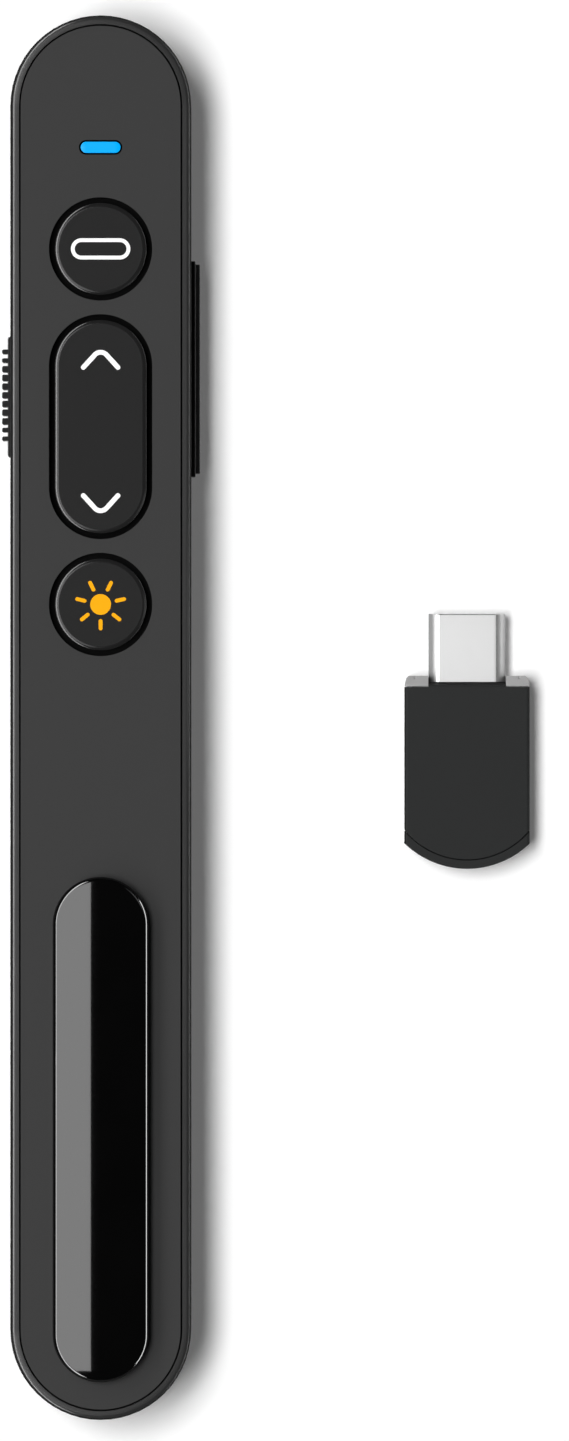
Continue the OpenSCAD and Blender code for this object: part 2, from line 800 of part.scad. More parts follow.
module battery_spring() {
    wire_r = 0.3;
    color(metal) translate([0, spring_plate_y + plate_thick + wire_r, cell_z]) wire(
        coil_path(4, 14, coil_r, coil_r - 1.3, spring_len - 2 * wire_r), wire_r, [0, 1, 0]
    );
}

module spring_plate() {
    half = cell_d / 2 - 0.8;
    color(metal) {
        box([-half, spring_plate_y, inside_z + 0.1], [half, spring_plate_y + plate_thick, bay_top + 0.4]);
        box([lead_x - tab_half, spring_plate_y, bay_top],
            [lead_x + tab_half, spring_plate_y + plate_thick, under_plate - 0.3]);
    }
}

module positive_contact() {
    half = cell_d / 2 - 1;
    color(metal) {
        box([-half, cell_end, inside_z + 0.1], [half, cell_end + plate_thick, cell_z + half]);
        box([-lead_x - tab_half, cell_end, cell_z + half - touch],
            [-lead_x + tab_half, cell_end + plate_thick, cell_z + half + 0.8]);
    }
}

// Leads: they leave the contacts, run beside the bosses and come down on the main board
lead_r = 0.4;
lead_x = screw_x - boss_r - lead_r - 0.25;
tab_half = 0.6;
lead_high = under_plate - 0.8;
red_start = cell_end + plate_thick;
black_start = spring_plate_y + plate_thick;
lead_end = [board_rear + 0.86, board_top + lead_r];
black_runs = 7;
black_from = black_start + 2.3;
black_to = board_rear - 5.54;
red_route = [
    [red_start, cell_z + 4.6], [red_start + 1, cell_z + 4.6], [board_rear - 3.84, board_top + 2.2],
    [board_rear - 2.84, board_top + 1.3], [board_rear - 1.84, board_top + 0.6], lead_end
];
black_route = concat(
    [[black_start, lead_high]],
    [for (k = [0:black_runs - 1])
        [black_from + k * (black_to - black_from) / black_runs, lead_high - 0.05 * (k % 2)]],
    [[black_to, lead_high - 0.1], [board_rear - 3.74, lead_high - 1.1],
     [board_rear - 2.34, board_top + 1.2], [board_rear - 0.94, board_top + 0.6], lead_end]
);

// Lead along a route of places along Y and heights
module lead(x, route) {
    wire([for (point = route) [x, point[0], point[1]]], lead_r, [1, 0, 0]);
}

module red_lead() {
    color("#b02020") lead(-lead_x, red_route);
}

module black_lead() {
    color("#101010") lead(lead_x, black_route);
}

// ---------- pocket clip ----------

// Half outline of the clip's arm: a crowned top that runs into a rounded edge
module clip_profile() {
    half = clip_w / 2;
    crown_z = body_h + clip_gap + clip_t - clip_crown_r;
    edge_x = half - clip_edge_r;
    edge_z = crown_z + sqrt(pow(clip_crown_r - clip_edge_r, 2) - pow(edge_x, 2));
    low = body_h + clip_gap;
    intersection() {
        translate([0, crown_z]) circle(clip_crown_r, $fn = 360);
        translate([0, low]) square([edge_x * clip_crown_r / (clip_crown_r - clip_edge_r), clip_t + cut]);
    }
    translate([0, low]) square([half, edge_z - low]);
    translate([edge_x, edge_z]) circle(clip_edge_r);
}

module pocket_clip() {
    clip_y = tail + clip_from_tail + clip_len / 2;
    bump_y = clip_len / 2 - clip_w / 2;
    bump_r = 3;
    bump_clear = 0.3;
    color("#0a0a0a") translate([0, clip_y, 0]) {
        stadium(clip_len, clip_w / 2) clip_profile();
        intersection() {
            pill_plate(clip_len, clip_w, body_h, body_h + clip_gap + touch);
            box([-clip_w, -clip_len / 2, body_h],
                [clip_w, -clip_len / 2 + clip_foot_len, body_h + clip_gap + touch]);
        }
        intersection() {
            translate([-clip_w / 2 + 1.5, bump_y, body_h + bump_clear + bump_r]) rotate([0, 90, 0])
                cylinder(r = bump_r, h = clip_w - 3);
            box([-clip_w, 0, body_h], [clip_w, clip_len, body_h + clip_gap + touch]);
        }
    }
}

// ---------- receiver ----------

// Plan outline of the receiver's body: straight sides and an end with the clicker's own radius
module receiver_outline() {
    intersection() {
        translate([0, recv_arc_y]) circle(half_w);
        translate([-recv_w / 2, recv_end - cut]) square([recv_w, shell_end - recv_end + cut]);
    }
    translate([-recv_w / 2, recv_arc_y - 1]) square([recv_w, shell_end - recv_arc_y + 1]);
}

// Rounded cross-section of the receiver, along its whole length and a little past both ends
module receiver_section() {
    corner = recv_edge_r;
    translate([0, recv_y + cut, recv_z]) rotate([90, 0, 0]) linear_extrude(recv_len + 2 * cut) {
        square([recv_w, recv_h - 2 * corner], center = true);
        square([recv_w - 2 * corner, recv_h], center = true);
        for (x = [-1, 1], z = [-1, 1])
            translate([x * (recv_w / 2 - corner), z * (recv_h / 2 - corner)]) circle(corner);
    }
}

module receiver_body() {
    intersection() {
        linear_extrude(recv_h) receiver_outline();
        receiver_section();
    }
}

module cap_arc(r) {
    translate([0, recv_arc_y, -cut]) cylinder(r = r, h = recv_h + 2 * cut);
    box([-recv_w, recv_arc_y, -cut], [recv_w, recv_y + cut, recv_h + cut]);
}

// Root of the shell around the plug, between the two wings of the collar
module plug_root_block() {
    low = recv_y - collar_len;
    lip = 0.15;
    translate([-plug_w / 2, 0, 0]) rotate([90, 0, 90]) linear_extrude(plug_w) polygon([
        [shell_end - 0.3, 0], [shell_end, 0], [low + lip, lip], [low + root_depth, recv_z - plug_h / 2],
        [low + root_depth, recv_z + plug_h / 2], [low + lip, recv_h - lip], [shell_end, recv_h],
        [shell_end - 0.3, recv_h], [shell_end - 0.3, recv_h - recv_wall], [shell_end, recv_h - recv_wall],
        [shell_end, recv_wall], [shell_end - 0.3, recv_wall]
    ]);
}

module receiver_shell() {
    color("#343434") translate([recv_x, 0, 0]) difference() {
        union() {
            difference() {
                intersection() {
                    receiver_body();
                    cap_arc(half_w - rim_w - seam / 2);
                }
                box([-recv_w / 2 + recv_wall, recv_arc_y - 4.6, recv_wall],
                    [recv_w / 2 - recv_wall, recv_y, recv_h - recv_wall]);
            }
            plug_root_block();
        }
        translate([0, shell_end - 2, recv_z])
            plug_prism(plug_w + 2 * touch, plug_h + 2 * touch, collar_len + 3);
    }
}

module receiver_end_cap() {
    color("#343434") translate([recv_x, 0, 0]) difference() {
        receiver_body();
        cap_arc(half_w - rim_w);
    }
}

module receiver_collar() {
    low = recv_y - collar_len;
    slope = 0.9;
    inset = 0.2;
    flat = 0.2;
    corner = 0.25;
    tick_x = 5.6;
    color("#9d9c9c") translate([recv_x, 0, 0]) difference() {
        union() {
            intersection() {
                linear_extrude(recv_h) polygon([
                    [-recv_w / 2, low], [recv_w / 2, low], [recv_w / 2 - inset, recv_y - corner],
                    [recv_w / 2 - inset - corner, recv_y], [-recv_w / 2 + inset + corner, recv_y],
                    [-recv_w / 2 + inset, recv_y - corner]
                ]);
                translate([-recv_w / 2, 0, 0]) rotate([90, 0, 90]) linear_extrude(recv_w) polygon([
                    [low, 0.02], [low + flat, 0.06], [recv_y, slope],
                    [recv_y, recv_h - slope], [low + flat, recv_h - 0.06], [low, recv_h - 0.02]
                ]);
                receiver_section();
            }
            box([-recv_w / 2 + recv_wall + touch, plug_root, recv_wall + touch],
                [recv_w / 2 - recv_wall - touch, low + touch, recv_h - recv_wall - touch]);
        }
        translate([0, low - 2, recv_z]) plug_prism(plug_w + 2 * touch, plug_h + 2 * touch, collar_len + 3);
        box([-plug_w / 2 - touch, shell_end - touch, -cut], [plug_w / 2 + touch, recv_y + cut, recv_h + cut]);
        for (side = [-1, 1], low_z = [-cut, recv_h - slope - 0.2])
            translate([side * tick_x - 0.12, recv_y - 0.35, low_z]) cube([0.24, cut, cut + slope + 0.2]);
    }
}

// Prism along +Y with the plug's own outline
module plug_prism(width, high, length) {
    translate([0, length, 0]) rotate([90, 0, 0]) linear_extrude(length) rotate([0, 0, 90]) pill(width, high);
}

module plug_shell() {
    color("#dcdcdc") translate([recv_x, plug_root, recv_z]) difference() {
        plug_prism(plug_w, plug_h, plug_tip - plug_root);
        translate([0, -cut, 0])
            plug_prism(plug_w - 2 * plug_sheet, plug_h - 2 * plug_sheet, plug_tip - plug_root + 2 * cut);
    }
}

module plug_insert() {
    slot_w = 6.7;
    slot_h = 0.84;
    insert_len = plug_tip - plug_root - 0.4;
    color("#161616") translate([recv_x, plug_root, recv_z]) difference() {
        plug_prism(plug_w - 2 * plug_sheet - 0.04, plug_h - 2 * plug_sheet - 0.04, insert_len);
        box([-slot_w / 2, insert_len - 4.6, -slot_h / 2], [slot_w / 2, insert_len + cut, slot_h / 2]);
    }
}

module plug_contacts() {
    pitch = 0.5;
    contact_w = 0.26;
    reach = plug_tip - 0.8;
    color(copper) translate([recv_x, 0, recv_z]) for (side = [-1, 1], k = [0:11])
        translate([(k - 5.5) * pitch, 0, side * 0.36])
            box([-contact_w / 2, reach - 3.8, -0.06], [contact_w / 2, reach, 0.06]);
}

module receiver_board() {
    color("#1f5a36") translate([recv_x, 0, recv_z])
        box([-recv_w / 2 + recv_wall + touch, recv_arc_y - 4, -0.4],
            [recv_w / 2 - recv_wall - touch, plug_root - touch, 0.4]);
}

module receiver_chip() {
    color("#202020") translate([recv_x, recv_arc_y + 0.5, recv_z + 0.4]) chip(chip_size, 0.8, 6);
}

rear_shell();
face_plate();
battery_door();
housing_screws();
led_lens();
status_led();
link_key();
page_key();
laser_key();
link_dome();
page_domes();
laser_dome();
power_knob();
switch_lever();
power_switch();
volume_key();
volume_switches();
main_board();
rf_chip();
crystal();
antenna();
board_parts();
laser_barrel();
laser_lens();
laser_diode();
laser_window();
battery_cell();
battery_spring();
spring_plate();
positive_contact();
red_lead();
black_lead();
pocket_clip();
receiver_shell();
receiver_end_cap();
receiver_collar();
plug_shell();
plug_insert();
plug_contacts();
receiver_board();
receiver_chip();
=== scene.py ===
import math

import bpy
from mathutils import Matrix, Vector


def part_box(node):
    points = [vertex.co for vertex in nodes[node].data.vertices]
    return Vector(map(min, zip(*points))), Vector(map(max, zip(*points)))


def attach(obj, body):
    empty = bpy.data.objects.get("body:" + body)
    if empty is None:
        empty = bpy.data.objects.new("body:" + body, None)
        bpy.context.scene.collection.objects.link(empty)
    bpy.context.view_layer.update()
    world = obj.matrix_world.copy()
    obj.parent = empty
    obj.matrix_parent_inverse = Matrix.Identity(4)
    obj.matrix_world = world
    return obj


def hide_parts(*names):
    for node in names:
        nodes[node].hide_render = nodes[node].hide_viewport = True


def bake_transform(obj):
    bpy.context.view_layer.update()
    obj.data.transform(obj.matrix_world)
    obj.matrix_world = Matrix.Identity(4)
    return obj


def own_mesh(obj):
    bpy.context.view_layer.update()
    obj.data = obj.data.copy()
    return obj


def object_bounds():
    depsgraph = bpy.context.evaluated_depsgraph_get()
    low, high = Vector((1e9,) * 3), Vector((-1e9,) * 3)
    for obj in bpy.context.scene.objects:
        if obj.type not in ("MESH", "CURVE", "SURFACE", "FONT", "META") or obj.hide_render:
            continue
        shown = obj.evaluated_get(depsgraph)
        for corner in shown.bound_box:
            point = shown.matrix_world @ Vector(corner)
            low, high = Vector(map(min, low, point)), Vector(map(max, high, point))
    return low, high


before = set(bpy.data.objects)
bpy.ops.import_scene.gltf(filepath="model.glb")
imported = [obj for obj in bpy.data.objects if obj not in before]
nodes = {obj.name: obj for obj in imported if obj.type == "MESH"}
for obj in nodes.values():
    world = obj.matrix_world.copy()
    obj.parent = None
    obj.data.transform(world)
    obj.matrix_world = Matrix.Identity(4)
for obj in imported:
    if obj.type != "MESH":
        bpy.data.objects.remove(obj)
cadLow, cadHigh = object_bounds()
mm = 0.001  # pieces are modelled in millimetres and shrunk to metres by finishPiece
slack = 0.001  # millimetres of play when faces and edges are picked by their place
weld = 0.0001  # millimetres within which a cut keeps to a point that is already there
overcut = 1  # millimetres by which a cutter stands past what it cuts
longEdge = 1  # millimetres, past which an edge runs along its piece and not around a rounding
square = 0.999  # a normal that points this much along an axis faces that way
steepLimit = 0.72  # a face whose normal rises less than this is a side; sides take the darker materials that paint shade
up = Vector((0, 0, 1))
print("frame loaded:", len(nodes), "nodes")


def deselectAll():
    bpy.ops.object.select_all(action="DESELECT")


def makeActive(piece):
    deselectAll()
    piece.select_set(True)
    bpy.context.view_layer.objects.active = piece


def editMode(on):
    bpy.ops.object.mode_set(mode="EDIT" if on else "OBJECT")


def nodeBox(node):
    low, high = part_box(node)  # lowest and highest corner, in millimetres
    return low / mm, high / mm


def middleY(node):
    low, high = nodeBox(node)
    return (low.y + high.y) / 2


def pickFaces(piece, test):
    # selects the faces whose middle and normal pass the test, and stays in edit mode
    makeActive(piece)
    editMode(True)
    bpy.ops.mesh.select_mode(type="FACE")
    bpy.ops.mesh.select_all(action="DESELECT")
    editMode(False)
    for face in piece.data.polygons:
        face.select = test(face.center, face.normal)
    editMode(True)


def pickEdges(piece, test):
    # selects the edges whose two ends pass the test, and stays in edit mode
    makeActive(piece)
    editMode(True)
    bpy.ops.mesh.select_mode(type="EDGE")
    bpy.ops.mesh.select_all(action="DESELECT")
    editMode(False)
    points = piece.data.vertices
    for edge in piece.data.edges:
        edge.select = test(points[edge.vertices[0]].co, points[edge.vertices[1]].co)
    editMode(True)


def extrudeBy(move):
    bpy.ops.mesh.extrude_region_move(TRANSFORM_OT_translate={"value": move})


def cutAcross(at, facing, **settings):
    # cuts all of the mesh in edit mode along one plane
    bpy.ops.mesh.select_all(action="SELECT")
    bpy.ops.mesh.bisect(plane_co=at, plane_no=facing, threshold=weld, **settings)


def applyPlace(piece):
    makeActive(piece)
    bpy.ops.object.transform_apply(location=True, rotation=True, scale=True)


def applyModifier(piece, kind, **settings):
    makeActive(piece)
    change = piece.modifiers.new(kind.lower(), kind)
    for name, value in settings.items():
        setattr(change, name, value)
    bpy.ops.object.modifier_apply(modifier=change.name)


def addBar(name, radius, length, middle, steps=64, tilt=0):
    # round bar, upright unless it is tilted across
    deselectAll()
    bpy.ops.mesh.primitive_cylinder_add(vertices=steps, radius=radius, depth=length, rotation=(0, tilt, 0),
                                        location=middle)
    bar = bpy.context.object
    bar.name = name
    applyPlace(bar)
    return bar


def addRound(name, radius, low, high, middle=(0, 0), steps=64):
    return addBar(name, radius, high - low, (middle[0], middle[1], (low + high) / 2), steps)


def addPill(name, length, width, low, high, middle=(0, 0), across=False, steps=96):
    # round bar that is cut through its middle, with one half drawn out to the pill's length
    pill = addRound(name, width / 2, low, high, steps=steps)
    if length - width > slack:
        editMode(True)
        cutAcross((0, 0, 0), (0, 1, 0))
        editMode(False)
        pickFaces(pill, lambda at, normal: at.y > 0)
        extrudeBy((0, length - width, 0))
        bpy.ops.mesh.select_all(action="SELECT")
        bpy.ops.transform.translate(value=(0, (width - length) / 2, 0))
        editMode(False)
    if across:
        pill.rotation_euler.z = math.radians(90)
    pill.location = (middle[0], middle[1], 0)
    applyPlace(pill)
    return pill


def addBlock(name, low, high):
    deselectAll()
    low, high = Vector(low), Vector(high)
    bpy.ops.mesh.primitive_cube_add(size=1, location=(low + high) / 2)
    block = bpy.context.object
    block.name = name
    block.scale = high - low
    applyPlace(block)
    return block


def liftFrom(piece, facing, inset, rise):
    # joins the faces of one flat end, insets them and draws the middle out or in
    reach = max(corner.co.dot(facing) for corner in piece.data.vertices)
    pickFaces(piece, lambda at, normal: normal.dot(facing) > square and at.dot(facing) > reach - slack)
    bpy.ops.mesh.dissolve_faces()
    bpy.ops.mesh.inset(thickness=inset, depth=0, use_even_offset=True)
    extrudeBy(tuple(facing * rise))
    editMode(False)


def contourTop(piece, outline):
    # insets the top face along a half outline of (distance from the edge, height gained)
    reach = max(corner.co.z for corner in piece.data.vertices)
    pickFaces(piece, lambda at, normal: normal.z > square and at.z > reach - slack)
    bpy.ops.mesh.dissolve_faces()
    lastIn, lastUp = 0, 0
    for farIn, farUp in outline:
        bpy.ops.mesh.inset(thickness=farIn - lastIn, depth=farUp - lastUp, use_even_offset=True)
        lastIn, lastUp = farIn, farUp
    editMode(False)


def roundOutline(wide, tall, steps):
    # quarter of an ellipse, for contourTop
    turns = [math.pi / 2 * step / steps for step in range(1, steps + 1)]
    return [(wide * (1 - math.cos(turn)), tall * math.sin(turn)) for turn in turns]


def roundEdges(piece, radius, test, segments=4):
    pickEdges(piece, test)
    bpy.ops.mesh.bevel(offset=radius, segments=segments, affect="EDGES")
    editMode(False)


def softenEdges(piece, width, segments=2, angle=40):
    # every edge sharper than the angle, as moulding and tumbling leave it
    applyModifier(piece, "BEVEL", width=width, segments=segments, limit_method="ANGLE",
                  angle_limit=math.radians(angle), use_clamp_overlap=True)


def combine(piece, operation, *others):
    for other in others:
        applyModifier(piece, "BOOLEAN", operation=operation, solver="EXACT", object=other)
        bpy.data.objects.remove(other)
    return piece


def joinPieces(piece, *others):
    makeActive(piece)
    for other in others:
        other.select_set(True)
    bpy.ops.object.join()


def smoothShade(piece, angle=35):
    makeActive(piece)
    bpy.ops.object.shade_smooth_by_angle(angle=math.radians(angle))
    applyModifier(piece, "WEIGHTED_NORMAL", mode="FACE_AREA", keep_sharp=True, weight=50)


def placeMaterial(piece, material):
    piece.data.materials.clear()
    piece.data.materials.append(material)


def finishPiece(piece, material, body, slot, *replaced, shrink=True):
    if shrink:
        if replaced:  # nothing may stand out of the construction's own box
            low, high = nodeBox(replaced[0])
            for point in piece.data.vertices:
                point.co = [min(max(at, least), most) for at, least, most in zip(point.co, low, high)]
        piece.scale = (mm, mm, mm)
        applyPlace(piece)
    smoothShade(piece)
    placeMaterial(piece, material)
    if body:
        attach(piece, body)
    if replaced:
        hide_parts(*replaced)
    return piece


def addSecond(piece, material, test):
    # one more material, on the faces whose middle (in millimetres) and normal pass the test
    piece.data.materials.append(material)
    for face in piece.data.polygons:
        if test(face.center / mm, face.normal):
            face.material_index = len(piece.data.materials) - 1


def isSteep(at, normal):
    return normal.z < steepLimit


def smoothCopy(node, material, body, slot):
    # the node's own shape as one closed mesh with smooth curves; battery_cell becomes batteryCell
    first, *rest = node.split("_")
    copy = bpy.data.objects.new(first + "".join(word.title() for word in rest), nodes[node].data.copy())
    bpy.context.scene.collection.objects.link(copy)
    makeActive(copy)
    if copy.data.has_custom_normals:
        bpy.ops.mesh.customdata_custom_splitnormals_clear()
    editMode(True)
    bpy.ops.mesh.select_all(action="SELECT")
    bpy.ops.mesh.remove_doubles(threshold=slack * mm)
    editMode(False)
    return finishPiece(copy, material, body, slot, node, shrink=False)


def linearColour(hexText):
    # standard sRGB curve, from a hex value to linear light
    parts = [int(hexText[at:at + 2], 16) / 255 for at in (1, 3, 5)]
    return [part / 12.92 if part <= 0.04045 else ((part + 0.055) / 1.055) ** 2.4 for part in parts] + [1]


def addNode(tree, kind, settings=None, links=None):
    node = tree.nodes.new(kind)
    for name, value in (settings or {}).items():
        if isinstance(name, int) or name in node.inputs:
            node.inputs[name].default_value = value
        else:
            setattr(node, name, value)
    for name, source in (links or {}).items():
        tree.links.new(source, node.inputs[name])
    return node


def newMaterial(name, **sockets):
    material = bpy.data.materials.new(name)
    material.use_nodes = True
    tree = material.node_tree
    shader = tree.nodes["Principled BSDF"]
    for socket, value in sockets.items():
        shader.inputs[socket.replace("_", " ")].default_value = value
    return material, tree, shader


def mixColours(tree, shader, one, other, share):
    # base colour between two close shades, by the share that a pattern gives
    tint = addNode(tree, "ShaderNodeMix", {"data_type": "RGBA", 6: linearColour(one), 7: linearColour(other)},
                   {0: share})
    tree.links.new(tint.outputs[2], shader.inputs["Base Color"])


def varyRoughness(tree, shader, middle, share, change):
    rough = addNode(tree, "ShaderNodeMapRange", {"To Min": middle - change, "To Max": middle + change},
                    {"Value": share})
    tree.links.new(rough.outputs["Result"], shader.inputs["Roughness"])


def mouldedPlastic(name, look):
    # moulded plastic: the colour drifts a little over the part and the tool leaves a fine grain
    material, tree, shader = newMaterial(name, IOR=look.get("ior", 1.5), Specular_IOR_Level=look.get("gloss", 0.5))
    place = addNode(tree, "ShaderNodeTexCoord")
    drift = addNode(tree, "ShaderNodeTexNoise", {"Scale": 1 / (look["driftSize"] * mm), "Detail": 3.0},
                    {"Vector": place.outputs["Object"]})
    mixColours(tree, shader, look["colour"], look["driftColour"], drift.outputs["Fac"])
    varyRoughness(tree, shader, look["roughness"], drift.outputs["Fac"], change=0.03)
    grain = addNode(tree, "ShaderNodeTexNoise", {"Scale": 1 / (look["grainSize"] * mm), "Detail": 2.0},
                    {"Vector": place.outputs["Object"]})
    bump = addNode(tree, "ShaderNodeBump", {"Strength": 1.0, "Distance": look["grainDepth"] * mm},
                   {"Height": grain.outputs["Fac"]})
    tree.links.new(bump.outputs["Normal"], shader.inputs["Normal"])
    return material


def platedMetal(name, look):
    # sheet or turned metal: bright, with a faint brushed streak and small stains in the plating
    edge = look.get("edge", 1.0)  # how much of the light a grazing view keeps
    material, tree, shader = newMaterial(name, Metallic=1.0, Specular_Tint=(edge, edge, edge, 1))
    place = addNode(tree, "ShaderNodeTexCoord")
    stretch = addNode(tree, "ShaderNodeMapping", {"Scale": look.get("streak", (1, 1, 1))},
                      {"Vector": place.outputs["Object"]})
    streaks = addNode(tree, "ShaderNodeTexNoise", {"Scale": 1 / (look["streakSize"] * mm), "Detail": 4.0},
                      {"Vector": stretch.outputs["Vector"]})
    mixColours(tree, shader, look["colour"], look["stain"], streaks.outputs["Fac"])
    varyRoughness(tree, shader, look["roughness"], streaks.outputs["Fac"], change=0.05)
    return material


def smoothFilm(name, look, **sockets):
    # lacquer, ink or clear plastic: no grain, only a faint change of shade over the surface
    material, tree, shader = newMaterial(name, **sockets)
    place = addNode(tree, "ShaderNodeTexCoord")
    drift = addNode(tree, "ShaderNodeTexNoise",
                    {"Scale": 1 / (look["driftSize"] * mm), "Detail": look.get("detail", 2.0)},
                    {"Vector": place.outputs["Object"]})
    mixColours(tree, shader, look["colour"], look["driftColour"], drift.outputs["Fac"])
    if "glow" in look:
        shader.inputs["Emission Color"].default_value = linearColour(look["glow"])
        shader.inputs["Emission Strength"].default_value = look["glowStrength"]
    return material


# Moulded ABS, spark-eroded matt: an even charcoal that takes only soft reflections
plateAbs = mouldedPlastic("matt spark-eroded ABS, charcoal", {
    "colour": "#2e2e2e", "driftColour": "#303030", "driftSize": 14, "roughness": 0.6, "gloss": 0.2,
    "grainSize": 0.25, "grainDepth": 0.0015,  # real grain is about 0.05 mm, drawn coarser so that it shows
})
# The same ABS, polished along the rim only: a satin band whose edge catches the light
rimAbs = mouldedPlastic("satin polished ABS, rim", {
    "colour": "#2b2b2b", "driftColour": "#2d2d2d", "driftSize": 20, "roughness": 0.2, "gloss": 0.6,
    "grainSize": 0.3, "grainDepth": 0.0005,
})
# Darker copy of the shell's matt ABS, painted shade: the tub's sides, the door and the receiver's sides drop to near
# black beside the bright rim
shadedTubAbs = mouldedPlastic("matt ABS, painted shade on the sides", {
    "colour": "#121212", "driftColour": "#151515", "driftSize": 20, "roughness": 0.6, "gloss": 0.06,
    "grainSize": 0.25, "grainDepth": 0.0015,
})
# Keys of darker ABS, polished round the edge: a thin light line follows each key's outline
keyAbs = mouldedPlastic("polished moulded ABS, key edges", {
    "colour": "#1d1d1d", "driftColour": "#1f1f1f", "driftSize": 9, "roughness": 0.14, "gloss": 0.5,
    "grainSize": 0.2, "grainDepth": 0.0001,
})
# The flat of each key is left eroded, so it stays dark where the edge shines
keyTopAbs = mouldedPlastic("fine matt ABS, key tops", {
    "colour": "#1b1b1b", "driftColour": "#1d1d1d", "driftSize": 9, "roughness": 0.5, "gloss": 0.12,
    "grainSize": 0.2, "grainDepth": 0.0008,
})
# Near-black dead-matt ABS, painted shade: on key flanges, on the cut sides of the holes and on the light window's
# sides it is darker than the plate, so that the ring around each key reads dark; on the clip's sides it is the clip's
# own black left unpolished
shadeBlackAbs = mouldedPlastic("near-black matt ABS, painted shade in gaps", {
    "colour": "#040404", "driftColour": "#070707", "driftSize": 5, "roughness": 0.8, "gloss": 0.1,
    "grainSize": 0.15, "grainDepth": 0.001,
})
# Darker ABS of the slide knob, polished by thumbs so that its rib tips catch the light
knobAbs = mouldedPlastic("moulded ABS worn smooth, slide knob", {
    "colour": "#0b0b0b", "driftColour": "#0e0e0e", "driftSize": 4, "roughness": 0.22, "gloss": 0.3,
    "grainSize": 0.2, "grainDepth": 0.001,
})
# Near-black ABS with a low sheen, so that the bar reads as one dark line with a grey crown
sideAbs = mouldedPlastic("low-sheen moulded ABS, side controls", {
    "colour": "#121212", "driftColour": "#151515", "driftSize": 6, "roughness": 0.3, "gloss": 0.3,
    "grainSize": 0.2, "grainDepth": 0.001,
})
# Matt ABS of the receiver, a little darker than the clicker
receiverAbs = mouldedPlastic("fine matt ABS, receiver", {
    "colour": "#232424", "driftColour": "#252626", "driftSize": 8, "roughness": 0.6, "gloss": 0.12,
    "grainSize": 0.2, "grainDepth": 0.001,
})
# Pale satin ABS that sets the plug end off from the dark body
collarAbs = mouldedPlastic("satin grey ABS, collar", {
    "colour": "#a4a3a3", "driftColour": "#aaaaaa", "driftSize": 5, "roughness": 0.35,
    "grainSize": 0.2, "grainDepth": 0.0008,
})
# Nylon of the plug's tongue and the switch lever: plain, dark and slightly waxy
innerNylon = mouldedPlastic("plain black moulded nylon", {
    "colour": "#171717", "driftColour": "#1c1c1c", "driftSize": 4, "roughness": 0.5,
    "grainSize": 0.15, "grainDepth": 0.001,
})

# Nickel-plated steel, drawn and bead-blasted: a bright soft grey
plugNickel = platedMetal("nickel-plated steel, satin", {
    "colour": "#f4f4f4", "stain": "#eaeaea", "streakSize": 1.5, "streak": (1, 0.2, 1), "roughness": 0.24, "edge": 0.0,
})
# The sides of the plug's shell, a darker and rougher copy of the plating: painted shade, so that the plug's edges
# read dark
shadedSideNickel = platedMetal("nickel plating, painted shade on the sides", {
    "colour": "#c4c4c4", "stain": "#b2b2b2", "streakSize": 0.8, "streak": (1, 0.2, 1), "roughness": 0.55, "edge": 0.0,
})
# Bright spring steel of the domes and contacts, with fine rolling marks
springSteel = platedMetal("nickel-plated spring steel", {
    "colour": "#cfd0d2", "stain": "#b9babc", "streakSize": 0.6, "roughness": 0.25,
})
# Zinc plating: bluish grey and a little cloudy
screwZinc = platedMetal("zinc-plated screw steel", {
    "colour": "#b8bcc0", "stain": "#9a9da0", "streakSize": 0.5, "roughness": 0.35,
})
# Brass off the lathe, with turning marks around the barrel
barrelBrass = platedMetal("turned brass", {
    "colour": "#d9b45c", "stain": "#c39a45", "streakSize": 0.4, "streak": (1, 8, 1), "roughness": 0.28,
})
# Thin gold over copper: warm, smooth and bright
contactGold = platedMetal("gold flash on copper", {
    "colour": "#e2b65a", "stain": "#cf9f45", "streakSize": 0.3, "roughness": 0.2,
})
# Tin over sheet steel: soft grey, slightly mottled
switchTin = platedMetal("tin-plated steel", {
    "colour": "#c4c5c4", "stain": "#a9aaa8", "streakSize": 0.5, "roughness": 0.32,
})
# Drawn nickel can of the crystal and the laser diode: pale, warm and nearly a mirror
canNickel = platedMetal("drawn nickel can", {
    "colour": "#d0cfc8", "stain": "#bdbcb4", "streakSize": 0.7, "roughness": 0.22,
})

# Moulded epoxy of the chips: grey-black and fine-grained
chipEpoxy = mouldedPlastic("moulded epoxy, chip package", {
    "colour": "#1f1f1f", "driftColour": "#262626", "driftSize": 1.5, "roughness": 0.6,
    "grainSize": 0.06, "grainDepth": 0.001,
})
# Fired ceramic of the antenna: white, hard and slightly glossy
antennaCeramic = mouldedPlastic("fired ceramic, white", {
    "colour": "#d9e3e6", "driftColour": "#cbd6da", "driftSize": 1, "roughness": 0.3,
    "grainSize": 0.08, "grainDepth": 0.0006,
})
# Ceramic capacitors and resistors in their usual brown, with a dull glaze
partCeramic = mouldedPlastic("fired ceramic, brown", {
    "colour": "#86684a", "driftColour": "#6f563e", "driftSize": 0.8, "roughness": 0.4,
    "grainSize": 0.08, "grainDepth": 0.0006,
})
# Milky epoxy body of the light-emitting diode: pale and smooth
lampEpoxy = mouldedPlastic("milky moulded epoxy, lamp", {
    "colour": "#e6f0f6", "driftColour": "#d8e6f0", "driftSize": 0.6, "roughness": 0.25,
    "grainSize": 0.1, "grainDepth": 0.0003,
})
# Shrunk PVC sleeve of the cell: glossy, with a slight orange peel
cellSleeve = mouldedPlastic("shrunk PVC sleeve, blue", {
    "colour": "#35597f", "driftColour": "#3f668f", "driftSize": 12, "roughness": 0.22,
    "grainSize": 0.8, "grainDepth": 0.004,
})
# Extruded PVC insulation of the leads: soft sheen, faint lengthwise change
wireRed = mouldedPlastic("extruded PVC, red", {
    "colour": "#a81c1c", "driftColour": "#941717", "driftSize": 3, "roughness": 0.4,
    "grainSize": 0.2, "grainDepth": 0.0008,
})
wireBlack = mouldedPlastic("extruded PVC, black", {
    "colour": "#0f0f0f", "driftColour": "#161616", "driftSize": 3, "roughness": 0.4,
    "grainSize": 0.2, "grainDepth": 0.0008,
})
